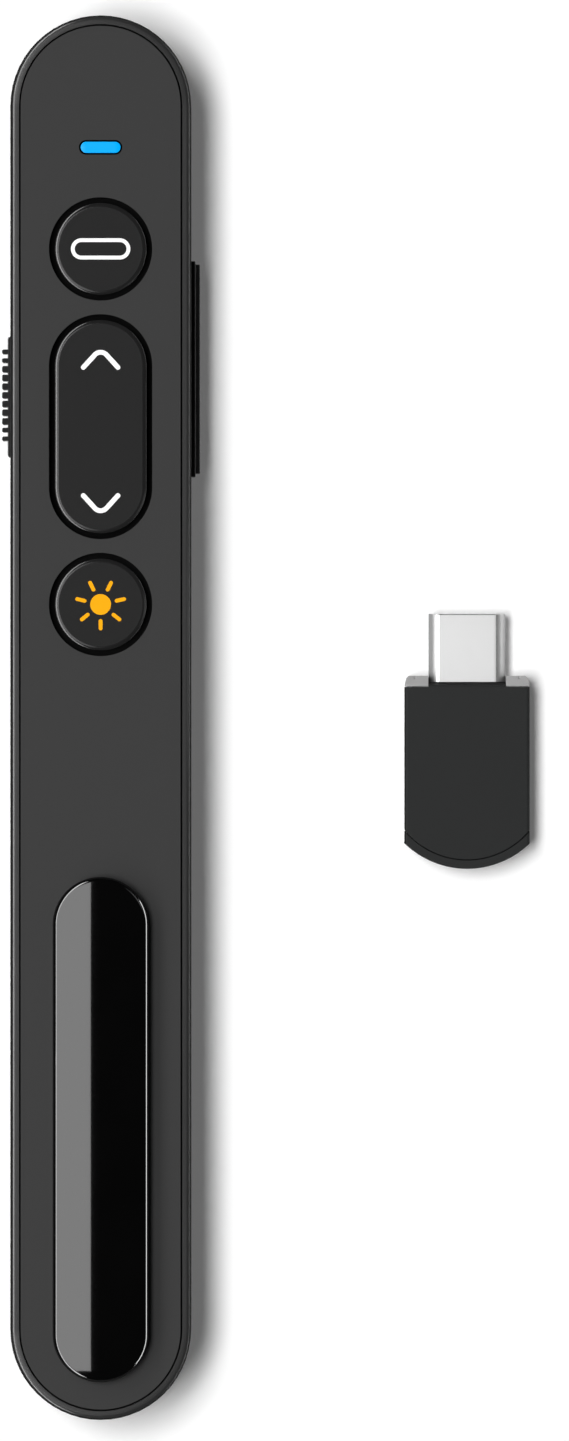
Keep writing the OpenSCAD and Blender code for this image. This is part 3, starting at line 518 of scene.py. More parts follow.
# Dark red acrylic over the laser: deep colour and a polished face
windowRed = mouldedPlastic("polished acrylic, dark red", {
    "colour": "#4a0d0d", "driftColour": "#5a1111", "driftSize": 3, "roughness": 0.06, "ior": 1.49,
    "grainSize": 1.0, "grainDepth": 0.0002,
})

# Clear moulded lens: light passes, and only the edge reads faintly blue
lensAcrylic = smoothFilm("clear moulded acrylic", {"colour": "#eef6ff", "driftColour": "#f8fcff", "driftSize": 1.2},
                         Roughness=0.03, IOR=1.49, Transmission_Weight=1.0)
# High-gloss ABS under a clear lacquer: black with mirror reflections
clipGloss = smoothFilm("lacquered high-gloss ABS, black",
                       {"colour": "#020202", "driftColour": "#050505", "driftSize": 6},
                       Roughness=0.05, IOR=1.5, Coat_Weight=1.0, Coat_Roughness=0.02, Coat_IOR=1.5)
# Pad-printed ink: flat, slightly chalky, with the faint edge-to-edge change of one pass; a faint painted glow makes
# it read brighter than the lamps alone make it
inkWhite, inkAmber = [
    smoothFilm(name, {"colour": colour, "driftColour": paler, "driftSize": 0.4, "detail": 3.0,
                      "glow": colour, "glowStrength": lift}, Roughness=0.55, Specular_IOR_Level=0.1)
    for name, colour, paler, lift in (("pad-printed ink, white", "#ffffff", "#fafafa", 0.06),
                                      ("pad-printed ink, amber", "#ffae00", "#ffb308", 0.03))
]
# Tinted acrylic over the lit diode: an even blue that glows a little
lightBlue = smoothFilm("lit acrylic window, blue",
                       {"colour": "#009aea", "driftColour": "#00a1f2", "driftSize": 1.5,
                        "glow": "#00b4fe", "glowStrength": 0.25}, Roughness=0.3, Specular_IOR_Level=0.15)

# Circuit board: green solder mask over copper tracks and glass cloth
boardLook = {
    "mask": "#14492a", "track": "#1f6a3d", "roughness": 0.3, "ior": 1.52,
    "trackUnit": 4.4, "trackWidth": 0.03,  # one unit of the pattern in millimetres, and the tracks' share of it
    "weaveUnit": 3.15, "weaveShare": 0.1,  # the same for the cloth, and its height against the tracks'
    "trackHeight": 0.02,
}
boardMask, boardTree, boardShader = newMaterial("solder mask over copper tracks", Roughness=boardLook["roughness"],
                                                IOR=boardLook["ior"])
boardPlace = addNode(boardTree, "ShaderNodeTexCoord")
boardTracks = addNode(boardTree, "ShaderNodeTexBrick",
                      {"Scale": 1 / (boardLook["trackUnit"] * mm), "Mortar Size": boardLook["trackWidth"],
                       "Color1": (0, 0, 0, 1), "Color2": (0, 0, 0, 1), "Mortar": (1, 1, 1, 1)},
                      {"Vector": boardPlace.outputs["Object"]})
boardWeave = addNode(boardTree, "ShaderNodeTexWave", {"Scale": 1 / (boardLook["weaveUnit"] * mm)},
                     {"Vector": boardPlace.outputs["Object"]})
mixColours(boardTree, boardShader, boardLook["mask"], boardLook["track"], boardTracks.outputs["Color"])
boardRelief = addNode(boardTree, "ShaderNodeMath", {"operation": "MULTIPLY_ADD", 1: boardLook["weaveShare"]},
                      {0: boardWeave.outputs["Fac"], 2: boardTracks.outputs["Color"]})
boardBump = addNode(boardTree, "ShaderNodeBump", {"Distance": boardLook["trackHeight"] * mm},
                    {"Height": boardRelief.outputs[0]})
boardTree.links.new(boardBump.outputs["Normal"], boardShader.inputs["Normal"])
print("materials ready")

# Rear shell and battery door, with all their inner walls; the rim of the shell is polished, and the rest takes the
# darker copy that paints shade on the sides
rimLook = {"deep": 0.3, "upright": 0.78}
rearShell = smoothCopy("rear_shell", shadedTubAbs, "housing", "shell_plastic")
shellTop = nodeBox("rear_shell")[1]
addSecond(rearShell, rimAbs, lambda at, normal: at.z > shellTop.z - rimLook["deep"] and normal.z > rimLook["upright"])
smoothCopy("battery_door", shadedTubAbs, "door", "shell_plastic")

# Keys: a flange under the plate, a hollow cap through it, and a stem over each dome
keyLook = {
    "lip": 0.6,  # flange past the hole in the plate
    "gap": 0.6,  # open ring around the cap
    "flangeThick": 0.9,
    "skin": 1.0,
    "edgeWide": 0.45,  # the rounded edge is wider than it is tall, so that it catches a broad light
    "edgeTall": 0.16,
    "edgeSteps": 7,
    "matt": 0.4,  # height over the flange up to which the cap takes the near-black matt ABS, painted shade in the ring
    "pressRoom": 0.1,  # between the plate and the flange of a key that presses
    "rockRoom": 0.43,  # the same for the key that rocks
    "domeSpread": 8.2,  # from the middle of the rocking key to each of its domes
    "stemRadius": 1.2,
    "stemClear": 0.05,  # between a stem and its snap dome
    "ribThick": 0.6,
    "ribRaise": 0.3,
    "fulcrumRadius": 0.4,
    "fulcrumLength": 4,
}
plateLook = {"thick": 1.2, "play": 0.03, "softEdge": 0.05}
plateLow, plateHigh = nodeBox("face_plate")
plateUnder = plateHigh.z - plateLook["thick"]


def makeKey(name, node, body, room, stems):
    low, high = nodeBox(node)
    middle = middleY(node)
    flangeTop = plateUnder - room
    flangeLow = flangeTop - keyLook["flangeThick"]
    shoulder = keyLook["lip"] + keyLook["gap"]
    key = addPill(name, high.y - low.y, high.x - low.x, flangeLow, flangeTop, (0, middle))
    liftFrom(key, up, shoulder, high.z - keyLook["edgeTall"] - flangeTop)
    liftFrom(key, -up, shoulder + keyLook["skin"], flangeLow + keyLook["skin"] - high.z)
    contourTop(key, roundOutline(keyLook["edgeWide"], keyLook["edgeTall"], keyLook["edgeSteps"]))
    capHalf = high.x - shoulder - keyLook["skin"] / 2
    halfRib = keyLook["ribThick"] / 2
    ribLow, ribTop = flangeLow + keyLook["ribRaise"], high.z - keyLook["skin"] / 2
    stemLow = nodeBox("link_dome")[1].z + keyLook["stemClear"]
    extras = []
    for stem in stems:
        extras.append(addRound("stem", keyLook["stemRadius"], stemLow, ribTop, (0, middle + stem), steps=32))
        extras.append(addBlock("rib", (-capHalf, middle + stem - halfRib, ribLow),
                               (capHalf, middle + stem + halfRib, ribTop)))
    reach = max(stems) if len(stems) > 1 else capHalf
    extras.append(addBlock("spine", (-halfRib, middle - reach, ribLow), (halfRib, middle + reach, ribTop)))
    if len(stems) > 1:  # a rocking key turns on a round-edged rib that stands on the board
        radius, halfLong = keyLook["fulcrumRadius"], keyLook["fulcrumLength"] / 2
        extras.append(addBlock("fulcrum", (-halfLong, middle - radius, low.z + radius),
                               (halfLong, middle + radius, ribTop)))
        extras.append(addBar("fulcrumEdge", radius, 2 * halfLong, (0, middle, low.z + radius), steps=48,
                             tilt=math.pi / 2))
    joinPieces(key, *extras)
    finishPiece(key, keyAbs, body, "key_plastic", node)
    # the flange and the foot of the cap are near black, painted shade in the ring around the key
    addSecond(key, shadeBlackAbs, lambda at, normal: at.z < flangeTop + keyLook["matt"])
    addSecond(key, keyTopAbs, lambda at, normal: at.z > high.z - slack)


makeKey("linkKey", "link_key", "link_button", keyLook["pressRoom"], [0])
makeKey("laserKey", "laser_key", "laser_button", keyLook["pressRoom"], [0])
makeKey("pageKey", "page_key", "page_rocker", keyLook["rockRoom"], [-keyLook["domeSpread"], keyLook["domeSpread"]])
print("keys ready")

# Face plate: a pill with the openings for the keys and the light
keyHoles = []
for node in ("link_key", "page_key", "laser_key"):
    low, high = nodeBox(node)
    keyHoles.append(addPill("keyHole", high.y - low.y - 2 * keyLook["lip"], high.x - low.x - 2 * keyLook["lip"],
                            plateUnder - overcut, plateHigh.z + overcut, (0, middleY(node))))
lightLook = {
    "length": 4.26, "width": 1.2, "play": 0.17, "softEdge": 0.05,
    "thick": 0.4,  # below the plate's underside, where the pipe to the diode starts
    "flangeLength": 6, "flangeWidth": 3, "flangeTop": 0.05, "flangeLow": 0.8,  # depths below the plate
    "pipeLength": 3,
    "maskLow": 0.9, "maskTop": 0.08,  # the sides are masked black from below the flange up to near the face, which stops the glow and paints shade around the window
}
lightLow, lightHigh = nodeBox("led_lens")


def addLightPill(name, length, width, low, high):
    return addPill(name, length, width, low, high, (0, middleY("led_lens")), across=True, steps=48)


keyHoles.append(addLightPill("lightHole", lightLook["length"] + 2 * lightLook["play"],
                             lightLook["width"] + 2 * lightLook["play"], plateUnder - overcut, plateHigh.z + overcut))
facePlate = addPill("facePlate", plateHigh.y - plateLow.y - 2 * plateLook["play"],
                    plateHigh.x - plateLow.x - 2 * plateLook["play"], plateUnder, plateHigh.z, steps=128)
combine(facePlate, "DIFFERENCE", *keyHoles)
softenEdges(facePlate, plateLook["softEdge"])
finishPiece(facePlate, plateAbs, "housing", "shell_plastic", "face_plate")
addSecond(facePlate, shadeBlackAbs, isSteep)  # the cut sides, near black: painted shade in the ring around each key

# Light window, flush in the plate, with a flange under it and a pipe down to the diode
pipeTop = plateUnder - lightLook["thick"]
lightWindow = addLightPill("lightWindow", lightLook["length"], lightLook["width"], pipeTop, lightHigh.z)
roundEdges(lightWindow, lightLook["softEdge"], lambda a, b: min(a.z, b.z) > lightHigh.z - slack, segments=2)
lightFlange = addLightPill("lightFlange", lightLook["flangeLength"], lightLook["flangeWidth"],
                           plateUnder - lightLook["flangeLow"], plateUnder - lightLook["flangeTop"])
lightPipe = addLightPill("lightPipe", lightLook["pipeLength"], lightLook["width"], lightLow.z, pipeTop)
joinPieces(lightWindow, lightFlange, lightPipe)
finishPiece(lightWindow, lightBlue, "housing", "light_window", "led_lens")
# the window's sides near black: painted shade around it, and a mask for the glow
addSecond(lightWindow, shadeBlackAbs,
          lambda at, normal: plateUnder - lightLook["maskLow"] < at.z < lightHigh.z - lightLook["maskTop"])

# Printed symbols: thin ink on the key tops
printLook = {
    "ink": 0.02,
    "ringLength": 6.35, "ringWidth": 2.27, "ringStroke": 0.41,
    "chevronArm": 1.8, "chevronStroke": 0.52, "chevronSlope": 47.6, "chevronBend": 0.85, "chevronSteps": 12,
    "chevronRound": 0.47,  # radius of the strip's ends, as a share of its width
    "chevronUp": 7.94, "chevronDown": -8.97,  # the middle of the bend, from the middle of the key
    "sunRadius": 1.11, "rayFrom": 1.55, "rayTo": 2.77, "rayWidth": 0.41, "rayCount": 7,
}
keyTop = nodeBox("link_key")[1].z
inkLow, inkHigh = keyTop - printLook["ink"], keyTop + printLook["ink"]

linkMiddle = (0, middleY("link_key"))
ringPrint = addPill("ringPrint", printLook["ringLength"], printLook["ringWidth"], inkLow, inkHigh, linkMiddle,
                    across=True, steps=64)
ringInside = addPill("ringInside", printLook["ringLength"] - 2 * printLook["ringStroke"],
                     printLook["ringWidth"] - 2 * printLook["ringStroke"], inkLow - overcut, inkHigh + overcut,
                     linkMiddle, across=True, steps=64)
combine(ringPrint, "DIFFERENCE", ringInside)
finishPiece(ringPrint, inkWhite, "link_button", None)


def makeChevron(name, bendY, turned):
    # strip drawn out of one arm, around the bend and into the other arm, with round ends
    stroke, bend = printLook["chevronStroke"], printLook["chevronBend"]
    arm = printLook["chevronArm"] + stroke / 2
    slope = math.radians(printLook["chevronSlope"])
    chevron = addBlock(name, (-arm, -stroke / 2, inkLow), (0, stroke / 2, inkHigh))
    pickFaces(chevron, lambda at, normal: normal.x > square)
    for step in range(printLook["chevronSteps"]):
        extrudeBy((0, 0, 0))
        bpy.ops.transform.rotate(value=2 * slope / printLook["chevronSteps"], orient_axis="Z",
                                 center_override=(0, -bend, 0))
    extrudeBy((arm * math.cos(2 * slope), -arm * math.sin(2 * slope), 0))
    editMode(False)
    far = arm - slack
    tip = Vector((bend * math.sin(2 * slope), bend * (math.cos(2 * slope) - 1), 0))
    along = Vector((math.cos(2 * slope), -math.sin(2 * slope), 0))
    roundEdges(chevron, stroke * printLook["chevronRound"],
               lambda a, b: abs(a.z - b.z) > inkHigh - inkLow - slack and (
                   min(-a.x, -b.x) > far or min((a - tip).dot(along), (b - tip).dot(along)) > far), segments=5)
    for point in chevron.data.vertices:
        point.co.y += bend
    chevron.rotation_euler.z = slope + (math.pi if turned else 0)
    applyPlace(chevron)
    chevron.location = (0, bendY + (bend if turned else -bend), 0)
    applyPlace(chevron)
    finishPiece(chevron, inkWhite, "page_rocker", None)


makeChevron("forwardPrint", middleY("page_key") + printLook["chevronUp"], False)
makeChevron("backPrint", middleY("page_key") + printLook["chevronDown"], True)

laserMiddle = middleY("laser_key")
sunPrint = addRound("sunPrint", printLook["sunRadius"], inkLow, inkHigh, (0, laserMiddle), steps=48)
rays = []
for turn in range(printLook["rayCount"]):
    ray = addPill("ray", printLook["rayTo"] - printLook["rayFrom"], printLook["rayWidth"], inkLow, inkHigh,
                  (0, -(printLook["rayFrom"] + printLook["rayTo"]) / 2), steps=24)
    ray.rotation_euler.z = turn * 2 * math.pi / printLook["rayCount"]
    ray.location = (0, laserMiddle, 0)
    applyPlace(ray)
    rays.append(ray)
joinPieces(sunPrint, *rays)
finishPiece(sunPrint, inkAmber, "laser_button", None)
print("face ready")

# Power knob: a plate in its recess with round-nosed grip ribs
knobLook = {
    "proud": 0.34, "plateDeep": 0.45, "endRadius": 0.3, "softEdge": 0.1,
    "ribCount": 11, "ribPitch": 0.93, "ribWidth": 0.7, "ribRound": 0.18, "ribShift": 0.2, "ribRoot": 0.1,
    "endRibs": 2, "endRibWidth": 0.5,  # the outermost ribs are narrower
    "stemLength": 5, "stemHeight": 2.4, "stemOut": 0.4,
}
wallX = shellTop.x
knobLow, knobHigh = nodeBox("power_knob")
knobY, knobZ = middleY("power_knob"), (knobLow.z + knobHigh.z) / 2
plateOut = -wallX - knobLook["proud"]
powerKnob = addBlock("powerKnob", (plateOut, knobLow.y, knobLow.z),
                     (-wallX + knobLook["plateDeep"], knobHigh.y, knobHigh.z))
roundEdges(powerKnob, knobLook["endRadius"],
           lambda a, b: max(a.x, b.x) < plateOut + slack and abs(a.z - b.z) > longEdge)
softenEdges(powerKnob, knobLook["softEdge"], angle=60)
ribs = []
for rib in range(knobLook["ribCount"]):
    atEnd = min(rib, knobLook["ribCount"] - 1 - rib) < knobLook["endRibs"]
    ribWidth = knobLook["endRibWidth"] if atEnd else knobLook["ribWidth"]
    ribY = knobY + knobLook["ribShift"] + (rib - (knobLook["ribCount"] - 1) / 2) * knobLook["ribPitch"]
    grip = addBlock("rib", (knobLow.x, ribY - ribWidth / 2, knobLow.z),
                    (plateOut + knobLook["ribRoot"], ribY + ribWidth / 2, knobHigh.z))
    roundEdges(grip, knobLook["ribRound"],
               lambda a, b: max(a.x, b.x) < knobLow.x + slack and abs(a.z - b.z) > longEdge)
    ribs.append(grip)
halfStem, halfStemTall = knobLook["stemLength"] / 2, knobLook["stemHeight"] / 2
knobStem = addBlock("knobStem", (-wallX + knobLook["stemOut"], knobY - halfStem, knobZ - halfStemTall),
                    (knobHigh.x, knobY + halfStem, knobZ + halfStemTall))
joinPieces(powerKnob, knobStem, *ribs)
finishPiece(powerKnob, knobAbs, "power_slider", "knob_plastic", "power_knob")

# Volume key: a long bar with a narrower crown, on a flange inside the wall
volumeLook = {"length": 23.1, "height": 5.0, "step": 0.45, "inset": 0.35, "softEdge": 0.1,
              "flangeOut": 7.99, "flangeThick": 0.8, "root": 0.05}
volumeLow, volumeHigh = nodeBox("volume_key")
volumeY, volumeZ = middleY("volume_key"), (volumeLow.z + volumeHigh.z) / 2
halfLong, halfTall = volumeLook["length"] / 2, volumeLook["height"] / 2
flangeOut = volumeLook["flangeOut"]
volumeKey = addBlock("volumeKey", (flangeOut - volumeLook["root"], volumeY - halfLong, volumeZ - halfTall),
                     (wallX + volumeLook["step"], volumeY + halfLong, volumeZ + halfTall))
liftFrom(volumeKey, Vector((1, 0, 0)), volumeLook["inset"], volumeHigh.x - wallX - volumeLook["step"])
softenEdges(volumeKey, volumeLook["softEdge"], segments=3, angle=60)
volumeFlange = addBlock("volumeFlange", (flangeOut - volumeLook["flangeThick"], volumeLow.y, volumeLow.z),
                        (flangeOut, volumeHigh.y, volumeHigh.z))
joinPieces(volumeKey, volumeFlange)
finishPiece(volumeKey, sideAbs, "volume_rocker", "volume_plastic", "volume_key")
print("side controls ready")

# Pocket clip: an arm with a crowned top on a foot, and a small bump at its free end
clipLook = {
    "armThick": 1.4, "crownRadius": 40, "crownSteps": 16,
    "crownOverlap": 0.04, "crownFlat": 0.05,  # where the crown starts past the edge, and half its flat middle
    # from the side wall up: a steep unpolished face, a flat facet that shows one card, and into the crown
    "edge": ((0.16, 0.63), (0.18, 0.6467), (0.23, 0.6883), (0.26, 0.7133), (0.37, 0.7597), (0.41, 0.7727)),
    "footLength": 8.9, "flexSteps": 12, "flexLength": 27,
    "bumpRadius": 3, "bumpClear": 0.3, "bumpShort": 3, "bumpRoot": 0.05,
}
clipLow, clipHigh = nodeBox("pocket_clip")
clipWidth = clipHigh.x - clipLow.x
armLow = clipHigh.z - clipLook["armThick"]
crownMiddle = clipHigh.z - clipLook["crownRadius"]


def crownHeight(across):
    return crownMiddle + math.sqrt(clipLook["crownRadius"] ** 2 - across ** 2)


edgeIn, edgeRise = clipLook["edge"][-1]
edgeX = clipHigh.x - edgeIn
edgeLow = crownHeight(edgeX) - edgeRise
pocketClip = addPill("pocketClip", clipHigh.y - clipLow.y, clipWidth, armLow, edgeLow, (0, middleY("pocket_clip")),
                     steps=128)
clipOutline = list(clipLook["edge"])
crownStart = edgeX - clipLook["crownOverlap"]
for step in range(clipLook["crownSteps"] + 1):
    across = crownStart + (clipLook["crownFlat"] - crownStart) * step / clipLook["crownSteps"]
    clipOutline.append((clipHigh.x - across, crownHeight(across) - edgeLow))
contourTop(pocketClip, clipOutline)
footEnd = clipLow.y + clipLook["footLength"]
makeActive(pocketClip)
editMode(True)
for step in range(clipLook["flexSteps"] + 1):
    cutAcross((0, footEnd + clipLook["flexLength"] * step / clipLook["flexSteps"], 0), (0, 1, 0))
editMode(False)
pickFaces(pocketClip, lambda at, normal: normal.z < -square and at.y < footEnd)
extrudeBy((0, 0, clipLow.z - armLow))
editMode(False)
bumpMiddle = (0, clipHigh.y - clipWidth / 2, clipLow.z + clipLook["bumpClear"] + clipLook["bumpRadius"])
clipBump = addBar("clipBump", clipLook["bumpRadius"], clipWidth - clipLook["bumpShort"], bumpMiddle,
                  tilt=math.pi / 2)
editMode(True)
cutAcross((0, 0, armLow + clipLook["bumpRoot"]), (0, 0, 1), clear_outer=True, use_fill=True)
editMode(False)
joinPieces(pocketClip, clipBump)
finishPiece(pocketClip, clipGloss, None, "clip_gloss", "pocket_clip")
addSecond(pocketClip, shadeBlackAbs, isSteep)  # the sides are left unpolished
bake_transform(pocketClip)
print("clip ready")

# Receiver: a slab with a curved end, cut by a seam, a pale collar and a USB-C plug
receiverLook = {
    "cornerRadius": 0.35, "endRadius": 9.65, "arcStraight": 40, "softEdge": 0.04,
    "wall": 0.8, "hollowFrom": 4.6,  # the hollow starts this far before the middle of the end's curve
    "rim": 0.93, "seam": 0.14, "seamIn": 0.06, "seamOut": 0.04, "seamDeep": 1,
    "collar": 1.1, "collarSeam": 0.1,
    "rootStart": 0.02, "rootLip": 0.15, "rootDepth": 0.45, "plugWay": 0.05,
}
shellLow, shellHigh = nodeBox("receiver_shell")
capLow = nodeBox("receiver_end_cap")[0]
collarEnd = nodeBox("receiver_collar")[1].y
plugLow, plugHigh = nodeBox("plug_shell")
receiverX = (shellLow.x + shellHigh.x) / 2
receiverZ = (shellLow.z + shellHigh.z) / 2
arcMiddle = capLow.y + receiverLook["endRadius"]
collarStart = collarEnd - receiverLook["collar"]
shellEnd = collarStart - receiverLook["collarSeam"]
seamRadius = receiverLook["endRadius"] - receiverLook["rim"]


def addArc(radius, low=shellLow.z - overcut):
    # pill whose lower end is the receiver's curved end
    length = 2 * radius + receiverLook["arcStraight"]
    return addPill("arc", length, 2 * radius, low, shellHigh.z + overcut,
                   (receiverX, arcMiddle - radius + length / 2), steps=128)


def addReceiverSlab(name):
    slab = addBlock(name, (shellLow.x, capLow.y - overcut, shellLow.z), (shellHigh.x, shellEnd, shellHigh.z))
    roundEdges(slab, receiverLook["cornerRadius"], lambda a, b: abs(a.y - b.y) > longEdge, segments=6)
    return combine(slab, "INTERSECT", addArc(receiverLook["endRadius"]))


def addPlugBar(name, width, thick, fromY, toY):
    bar = addPill(name, width, thick, fromY, toY, across=True, steps=48)
    bar.rotation_euler.x = math.radians(-90)
    bar.location = (receiverX, 0, receiverZ)
    applyPlace(bar)
    return bar


receiverShell = addReceiverSlab("receiverShell")
combine(receiverShell, "INTERSECT", addArc(seamRadius - receiverLook["seam"] / 2))
wall = receiverLook["wall"]
combine(receiverShell, "DIFFERENCE", addBlock(
    "hollow", (shellLow.x + wall, arcMiddle - receiverLook["hollowFrom"], shellLow.z + wall),
    (shellHigh.x - wall, shellEnd + overcut, shellHigh.z - wall)))
softenEdges(receiverShell, receiverLook["softEdge"])

# Root around the plug, drawn out of the shell's end in two tapering steps
plugWidth, plugThick = plugHigh.x - plugLow.x, plugHigh.z - plugLow.z
shellTall = shellHigh.z - shellLow.z
plugRoot = addBlock("plugRoot", (receiverX - plugWidth / 2, shellEnd - receiverLook["rootStart"], shellLow.z),
                    (receiverX + plugWidth / 2, shellEnd, shellHigh.z))
lastTall = shellTall
for reach, tall in ((collarStart + receiverLook["rootLip"], shellTall - 2 * receiverLook["rootLip"]),
                    (collarStart + receiverLook["rootDepth"], plugThick)):
    front = max(corner.co.y for corner in plugRoot.data.vertices)
    pickFaces(plugRoot, lambda at, normal: normal.y > square and at.y > front - slack)
    extrudeBy((0, reach - front, 0))
    bpy.ops.transform.resize(value=(1, 1, tall / lastTall), center_override=(receiverX, reach, receiverZ))
    editMode(False)
    lastTall = tall
combine(plugRoot, "DIFFERENCE",
        addPlugBar("plugWay", plugWidth + 2 * receiverLook["plugWay"], plugThick + 2 * receiverLook["plugWay"],
                   shellEnd - overcut, collarEnd + overcut))
joinPieces(receiverShell, plugRoot)
finishPiece(receiverShell, receiverAbs, "receiver", "receiver_plastic", "receiver_shell")
# the receiver's sides take the darker copy: painted shade for a dark outline
addSecond(receiverShell, shadedTubAbs, isSteep)

receiverCap = addReceiverSlab("receiverEndCap")
combine(receiverCap, "DIFFERENCE", addArc(seamRadius - receiverLook["seamIn"]),
        addArc(seamRadius + receiverLook["seamOut"], shellHigh.z - receiverLook["seamDeep"]))
softenEdges(receiverCap, receiverLook["softEdge"])
finishPiece(receiverCap, receiverAbs, "receiver", "receiver_plastic", "receiver_end_cap")
# the end cap's sides and seam walls take the darker copy: painted shade for a dark outline and seam
addSecond(receiverCap, shadedTubAbs, isSteep)

smoothCopy("receiver_collar", collarAbs, "receiver", "collar_grey")

plugLook = {"sheet": 0.32, "rimRadius": 0.15, "flat": 0.95, "mouth": 0.5}  # the last two tell apart the sides, which take the painted shade
plugShell = addPlugBar("plugShell", plugWidth, plugThick, plugLow.y, plugHigh.y)
combine(plugShell, "DIFFERENCE",
        addPlugBar("bore", plugWidth - 2 * plugLook["sheet"], plugThick - 2 * plugLook["sheet"],
                   plugLow.y - overcut, plugHigh.y + overcut))
softenEdges(plugShell, plugLook["rimRadius"], segments=3)
finishPiece(plugShell, plugNickel, "receiver", "plug_steel", "plug_shell")
# the plug's sides take the darker plating: painted shade
addSecond(plugShell, shadedSideNickel,
          lambda at, normal: abs(normal.z) < plugLook["flat"] and abs(normal.y) < plugLook["mouth"])
print("receiver ready")

# Inner parts keep the construction's own shapes
for node, material, slot in (
    ("housing_screws", screwZinc, "screw_steel"),
    ("link_dome", springSteel, "spring_steel"),
    ("page_domes", springSteel, "spring_steel"),
    ("laser_dome", springSteel, "spring_steel"),
    ("laser_barrel", barrelBrass, "brass"),
    ("battery_spring", springSteel, "spring_steel"),
    ("laser_lens", lensAcrylic, "clear_lens"),
    ("laser_diode", canNickel, "crystal_can"),
    ("laser_window", windowRed, "window_red"),
    ("red_lead", wireRed, "wire_red"),
    ("black_lead", wireBlack, "wire_black"),
):
    smoothCopy(node, material, "housing", slot)

# Each dome that a key presses gets a mesh of its own
for name, joint in (("linkDome", "link_press"), ("laserDome", "laser_press")):
    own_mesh(bpy.data.objects[name])

# The cell keeps bare steel at both ends of its sleeve
cellLook = {"bareFlat": 0.3, "bareButton": 1.1}
batteryCell = smoothCopy("battery_cell", cellSleeve, "housing", "cell_wrap")
cellLow, cellHigh = nodeBox("battery_cell")
addSecond(batteryCell, springSteel,
          lambda at, normal: at.y < cellLow.y + cellLook["bareFlat"] or at.y > cellHigh.y - cellLook["bareButton"])

# Square-cut parts keep the construction's own mesh and only take a material
for material, plainNodes in (
    (lampEpoxy, ("status_led",)), (innerNylon, ("switch_lever", "plug_insert")),
    (switchTin, ("power_switch", "volume_switches")), (boardMask, ("main_board", "receiver_board")),
    (chipEpoxy, ("rf_chip", "receiver_chip")), (canNickel, ("crystal",)), (antennaCeramic, ("antenna",)),
    (partCeramic, ("board_parts",)), (springSteel, ("spring_plate", "positive_contact")),
    (contactGold, ("plug_contacts",)),
):
    for node in plainNodes:
        for place in nodes[node].material_slots:
            place.material = material
print("inner parts ready")

# Stage: a paper floor that reads as white to the camera and in gloss, without lighting the object more
stageLook = {"size": 12, "drop": 0.02, "paper": "#f3f3f3", "lift": 0.12}
deselectAll()
bpy.ops.mesh.primitive_plane_add(size=stageLook["size"], location=(0, 0, cadLow.z - stageLook["drop"] * mm))
floor = bpy.context.object
floor.name = "studioFloor"
applyPlace(floor)
floorPaper, floorTree, floorShader = newMaterial("white background paper", Roughness=0.9, Specular_IOR_Level=0.0)
floorShader.inputs["Base Color"].default_value = linearColour(stageLook["paper"])
floorShader.inputs["Emission Color"].default_value = (1, 1, 1, 1)
rayKind = addNode(floorTree, "ShaderNodeLightPath")
seenOrGlossy = addNode(floorTree, "ShaderNodeMath", {"operation": "ADD"},
                       {0: rayKind.outputs["Is Camera Ray"], 1: rayKind.outputs["Is Glossy Ray"]})
seenAtAll = addNode(floorTree, "ShaderNodeMath", {"operation": "ADD"},
                    {0: seenOrGlossy.outputs[0], 1: rayKind.outputs["Is Transmission Ray"]})
paperLift = addNode(floorTree, "ShaderNodeMath", {"operation": "MULTIPLY", 1: stageLook["lift"]},
                    {0: seenAtAll.outputs[0]})
floorTree.links.new(paperLift.outputs[0], floorShader.inputs["Emission Strength"])
placeMaterial(floor, floorPaper)

roomLook = {"ceiling": 0.012, "wallTop": 0.1, "fade": 0.06}  # pale walls up to about 6 degrees, dim above
room = bpy.data.worlds.new("studioRoom")
bpy.context.scene.world = room
room.use_nodes = True
roomTree = room.node_tree
roomPlace = addNode(roomTree, "ShaderNodeTexCoord")
roomHeight = addNode(roomTree, "ShaderNodeSeparateXYZ", {}, {"Vector": roomPlace.outputs["Generated"]})
roomFade = addNode(roomTree, "ShaderNodeMapRange",
                   {"From Min": roomLook["wallTop"], "From Max": roomLook["wallTop"] + roomLook["fade"],
                    "To Min": 1.0, "To Max": roomLook["ceiling"]}, {"Value": roomHeight.outputs["Z"]})
roomTree.nodes["Background"].inputs["Color"].default_value = (1, 1, 1, 1)
roomTree.links.new(roomFade.outputs["Result"], roomTree.nodes["Background"].inputs["Strength"])

# Camera straight overhead; the frame's height is given at the distance of the face
viewLook = {"middle": (19.63, -0.3), "faceHeight": 14, "distance": 2400, "tall": 153.887,
            "sensor": 36, "farthest": 20}
viewX, viewY = viewLook["middle"]
bpy.ops.object.camera_add(location=(viewX * mm, viewY * mm, (viewLook["faceHeight"] + viewLook["distance"]) * mm),
                          rotation=(0, 0, 0))
camera = bpy.context.object
camera.data.sensor_width = viewLook["sensor"]
camera.data.lens = camera.data.sensor_width * viewLook["distance"] / viewLook["tall"]
camera.data.clip_end = viewLook["farthest"]
bpy.context.scene.camera = camera

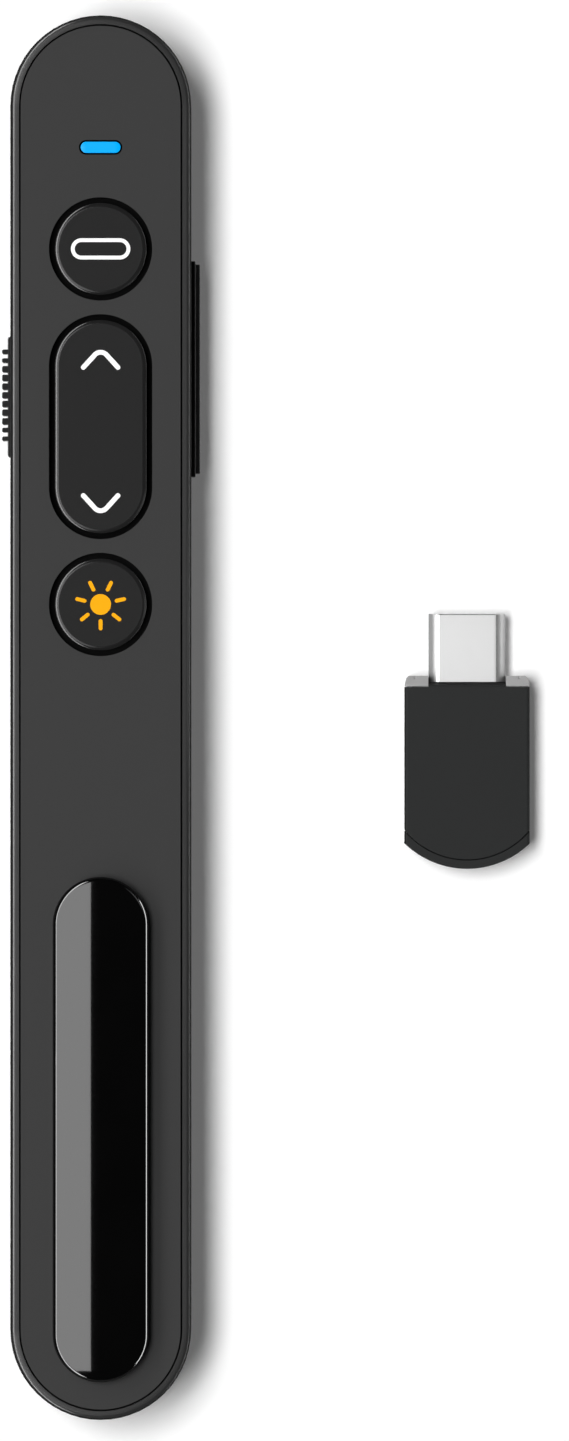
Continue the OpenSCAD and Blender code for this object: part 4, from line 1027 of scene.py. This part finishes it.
# Two soft overhead lights, in degrees off the vertical
sunLook = {"left": 11.5, "forward": (7.5, -5), "spread": 14, "strength": 1.6}
for forward in sunLook["forward"]:
    place = Vector((-math.tan(math.radians(sunLook["left"])), math.tan(math.radians(forward)), 1))
    bpy.ops.object.light_add(type="SUN", location=place, rotation=place.to_track_quat("Z", "Y").to_euler())
    sun = bpy.context.object
    sun.name = "overheadSoftbox"
    sun.data.angle = math.radians(sunLook["spread"])
    sun.data.energy = sunLook["strength"]
    sun.visible_glossy = False


def addCard(name, middle, size, brightness, leans=False):
    # soft box that shows only in reflections; brightness is what a mirror would show of it
    lean = math.atan2(middle[0], middle[2]) if leans else 0
    bpy.ops.object.light_add(type="AREA", location=Vector(middle) * mm, rotation=(0, lean, 0))
    card = bpy.context.object
    card.name = name
    card.data.shape = "RECTANGLE"
    card.data.size, card.data.size_y = size[0] * mm, size[1] * mm
    card.data.energy = brightness * math.pi * card.data.size * card.data.size_y
    card.visible_camera = False
    card.visible_diffuse = False


# The clip's crown shows this card from its left edge to its split line
clipCard = {"height": 600, "split": -1.04, "left": -240, "front": 170, "back": -206, "brightness": 2.55}
splitTilt = math.asin(clipCard["split"] / clipLook["crownRadius"])
viewTilt = math.atan2(viewX - clipCard["split"], viewLook["distance"])
cardRight = clipCard["split"] + clipCard["height"] * math.tan(2 * splitTilt - viewTilt)
addCard("clipCard", ((clipCard["left"] + cardRight) / 2, (clipCard["front"] + clipCard["back"]) / 2,
                     clipCard["height"] + clipHigh.z),
        (cardRight - clipCard["left"], clipCard["front"] - clipCard["back"]), clipCard["brightness"])
# Cards for the rim's left edge, for the edges on the right, and for the plug's flat
cardLooks = {
    "rimCard": {"middle": (-391, 0, 580), "size": (247, 2000), "brightness": 8.2, "leans": True},
    "rightCard": {"middle": (690, 0, 142), "size": (60, 1600), "brightness": 9, "leans": True},
    "plugCard": {"middle": (46, 8, 64), "size": (38, 24), "brightness": 0.68},
}
for name, look in cardLooks.items():
    addCard(name, **look)
print("stage ready")

bpy.context.scene.view_settings.view_transform = "Standard"
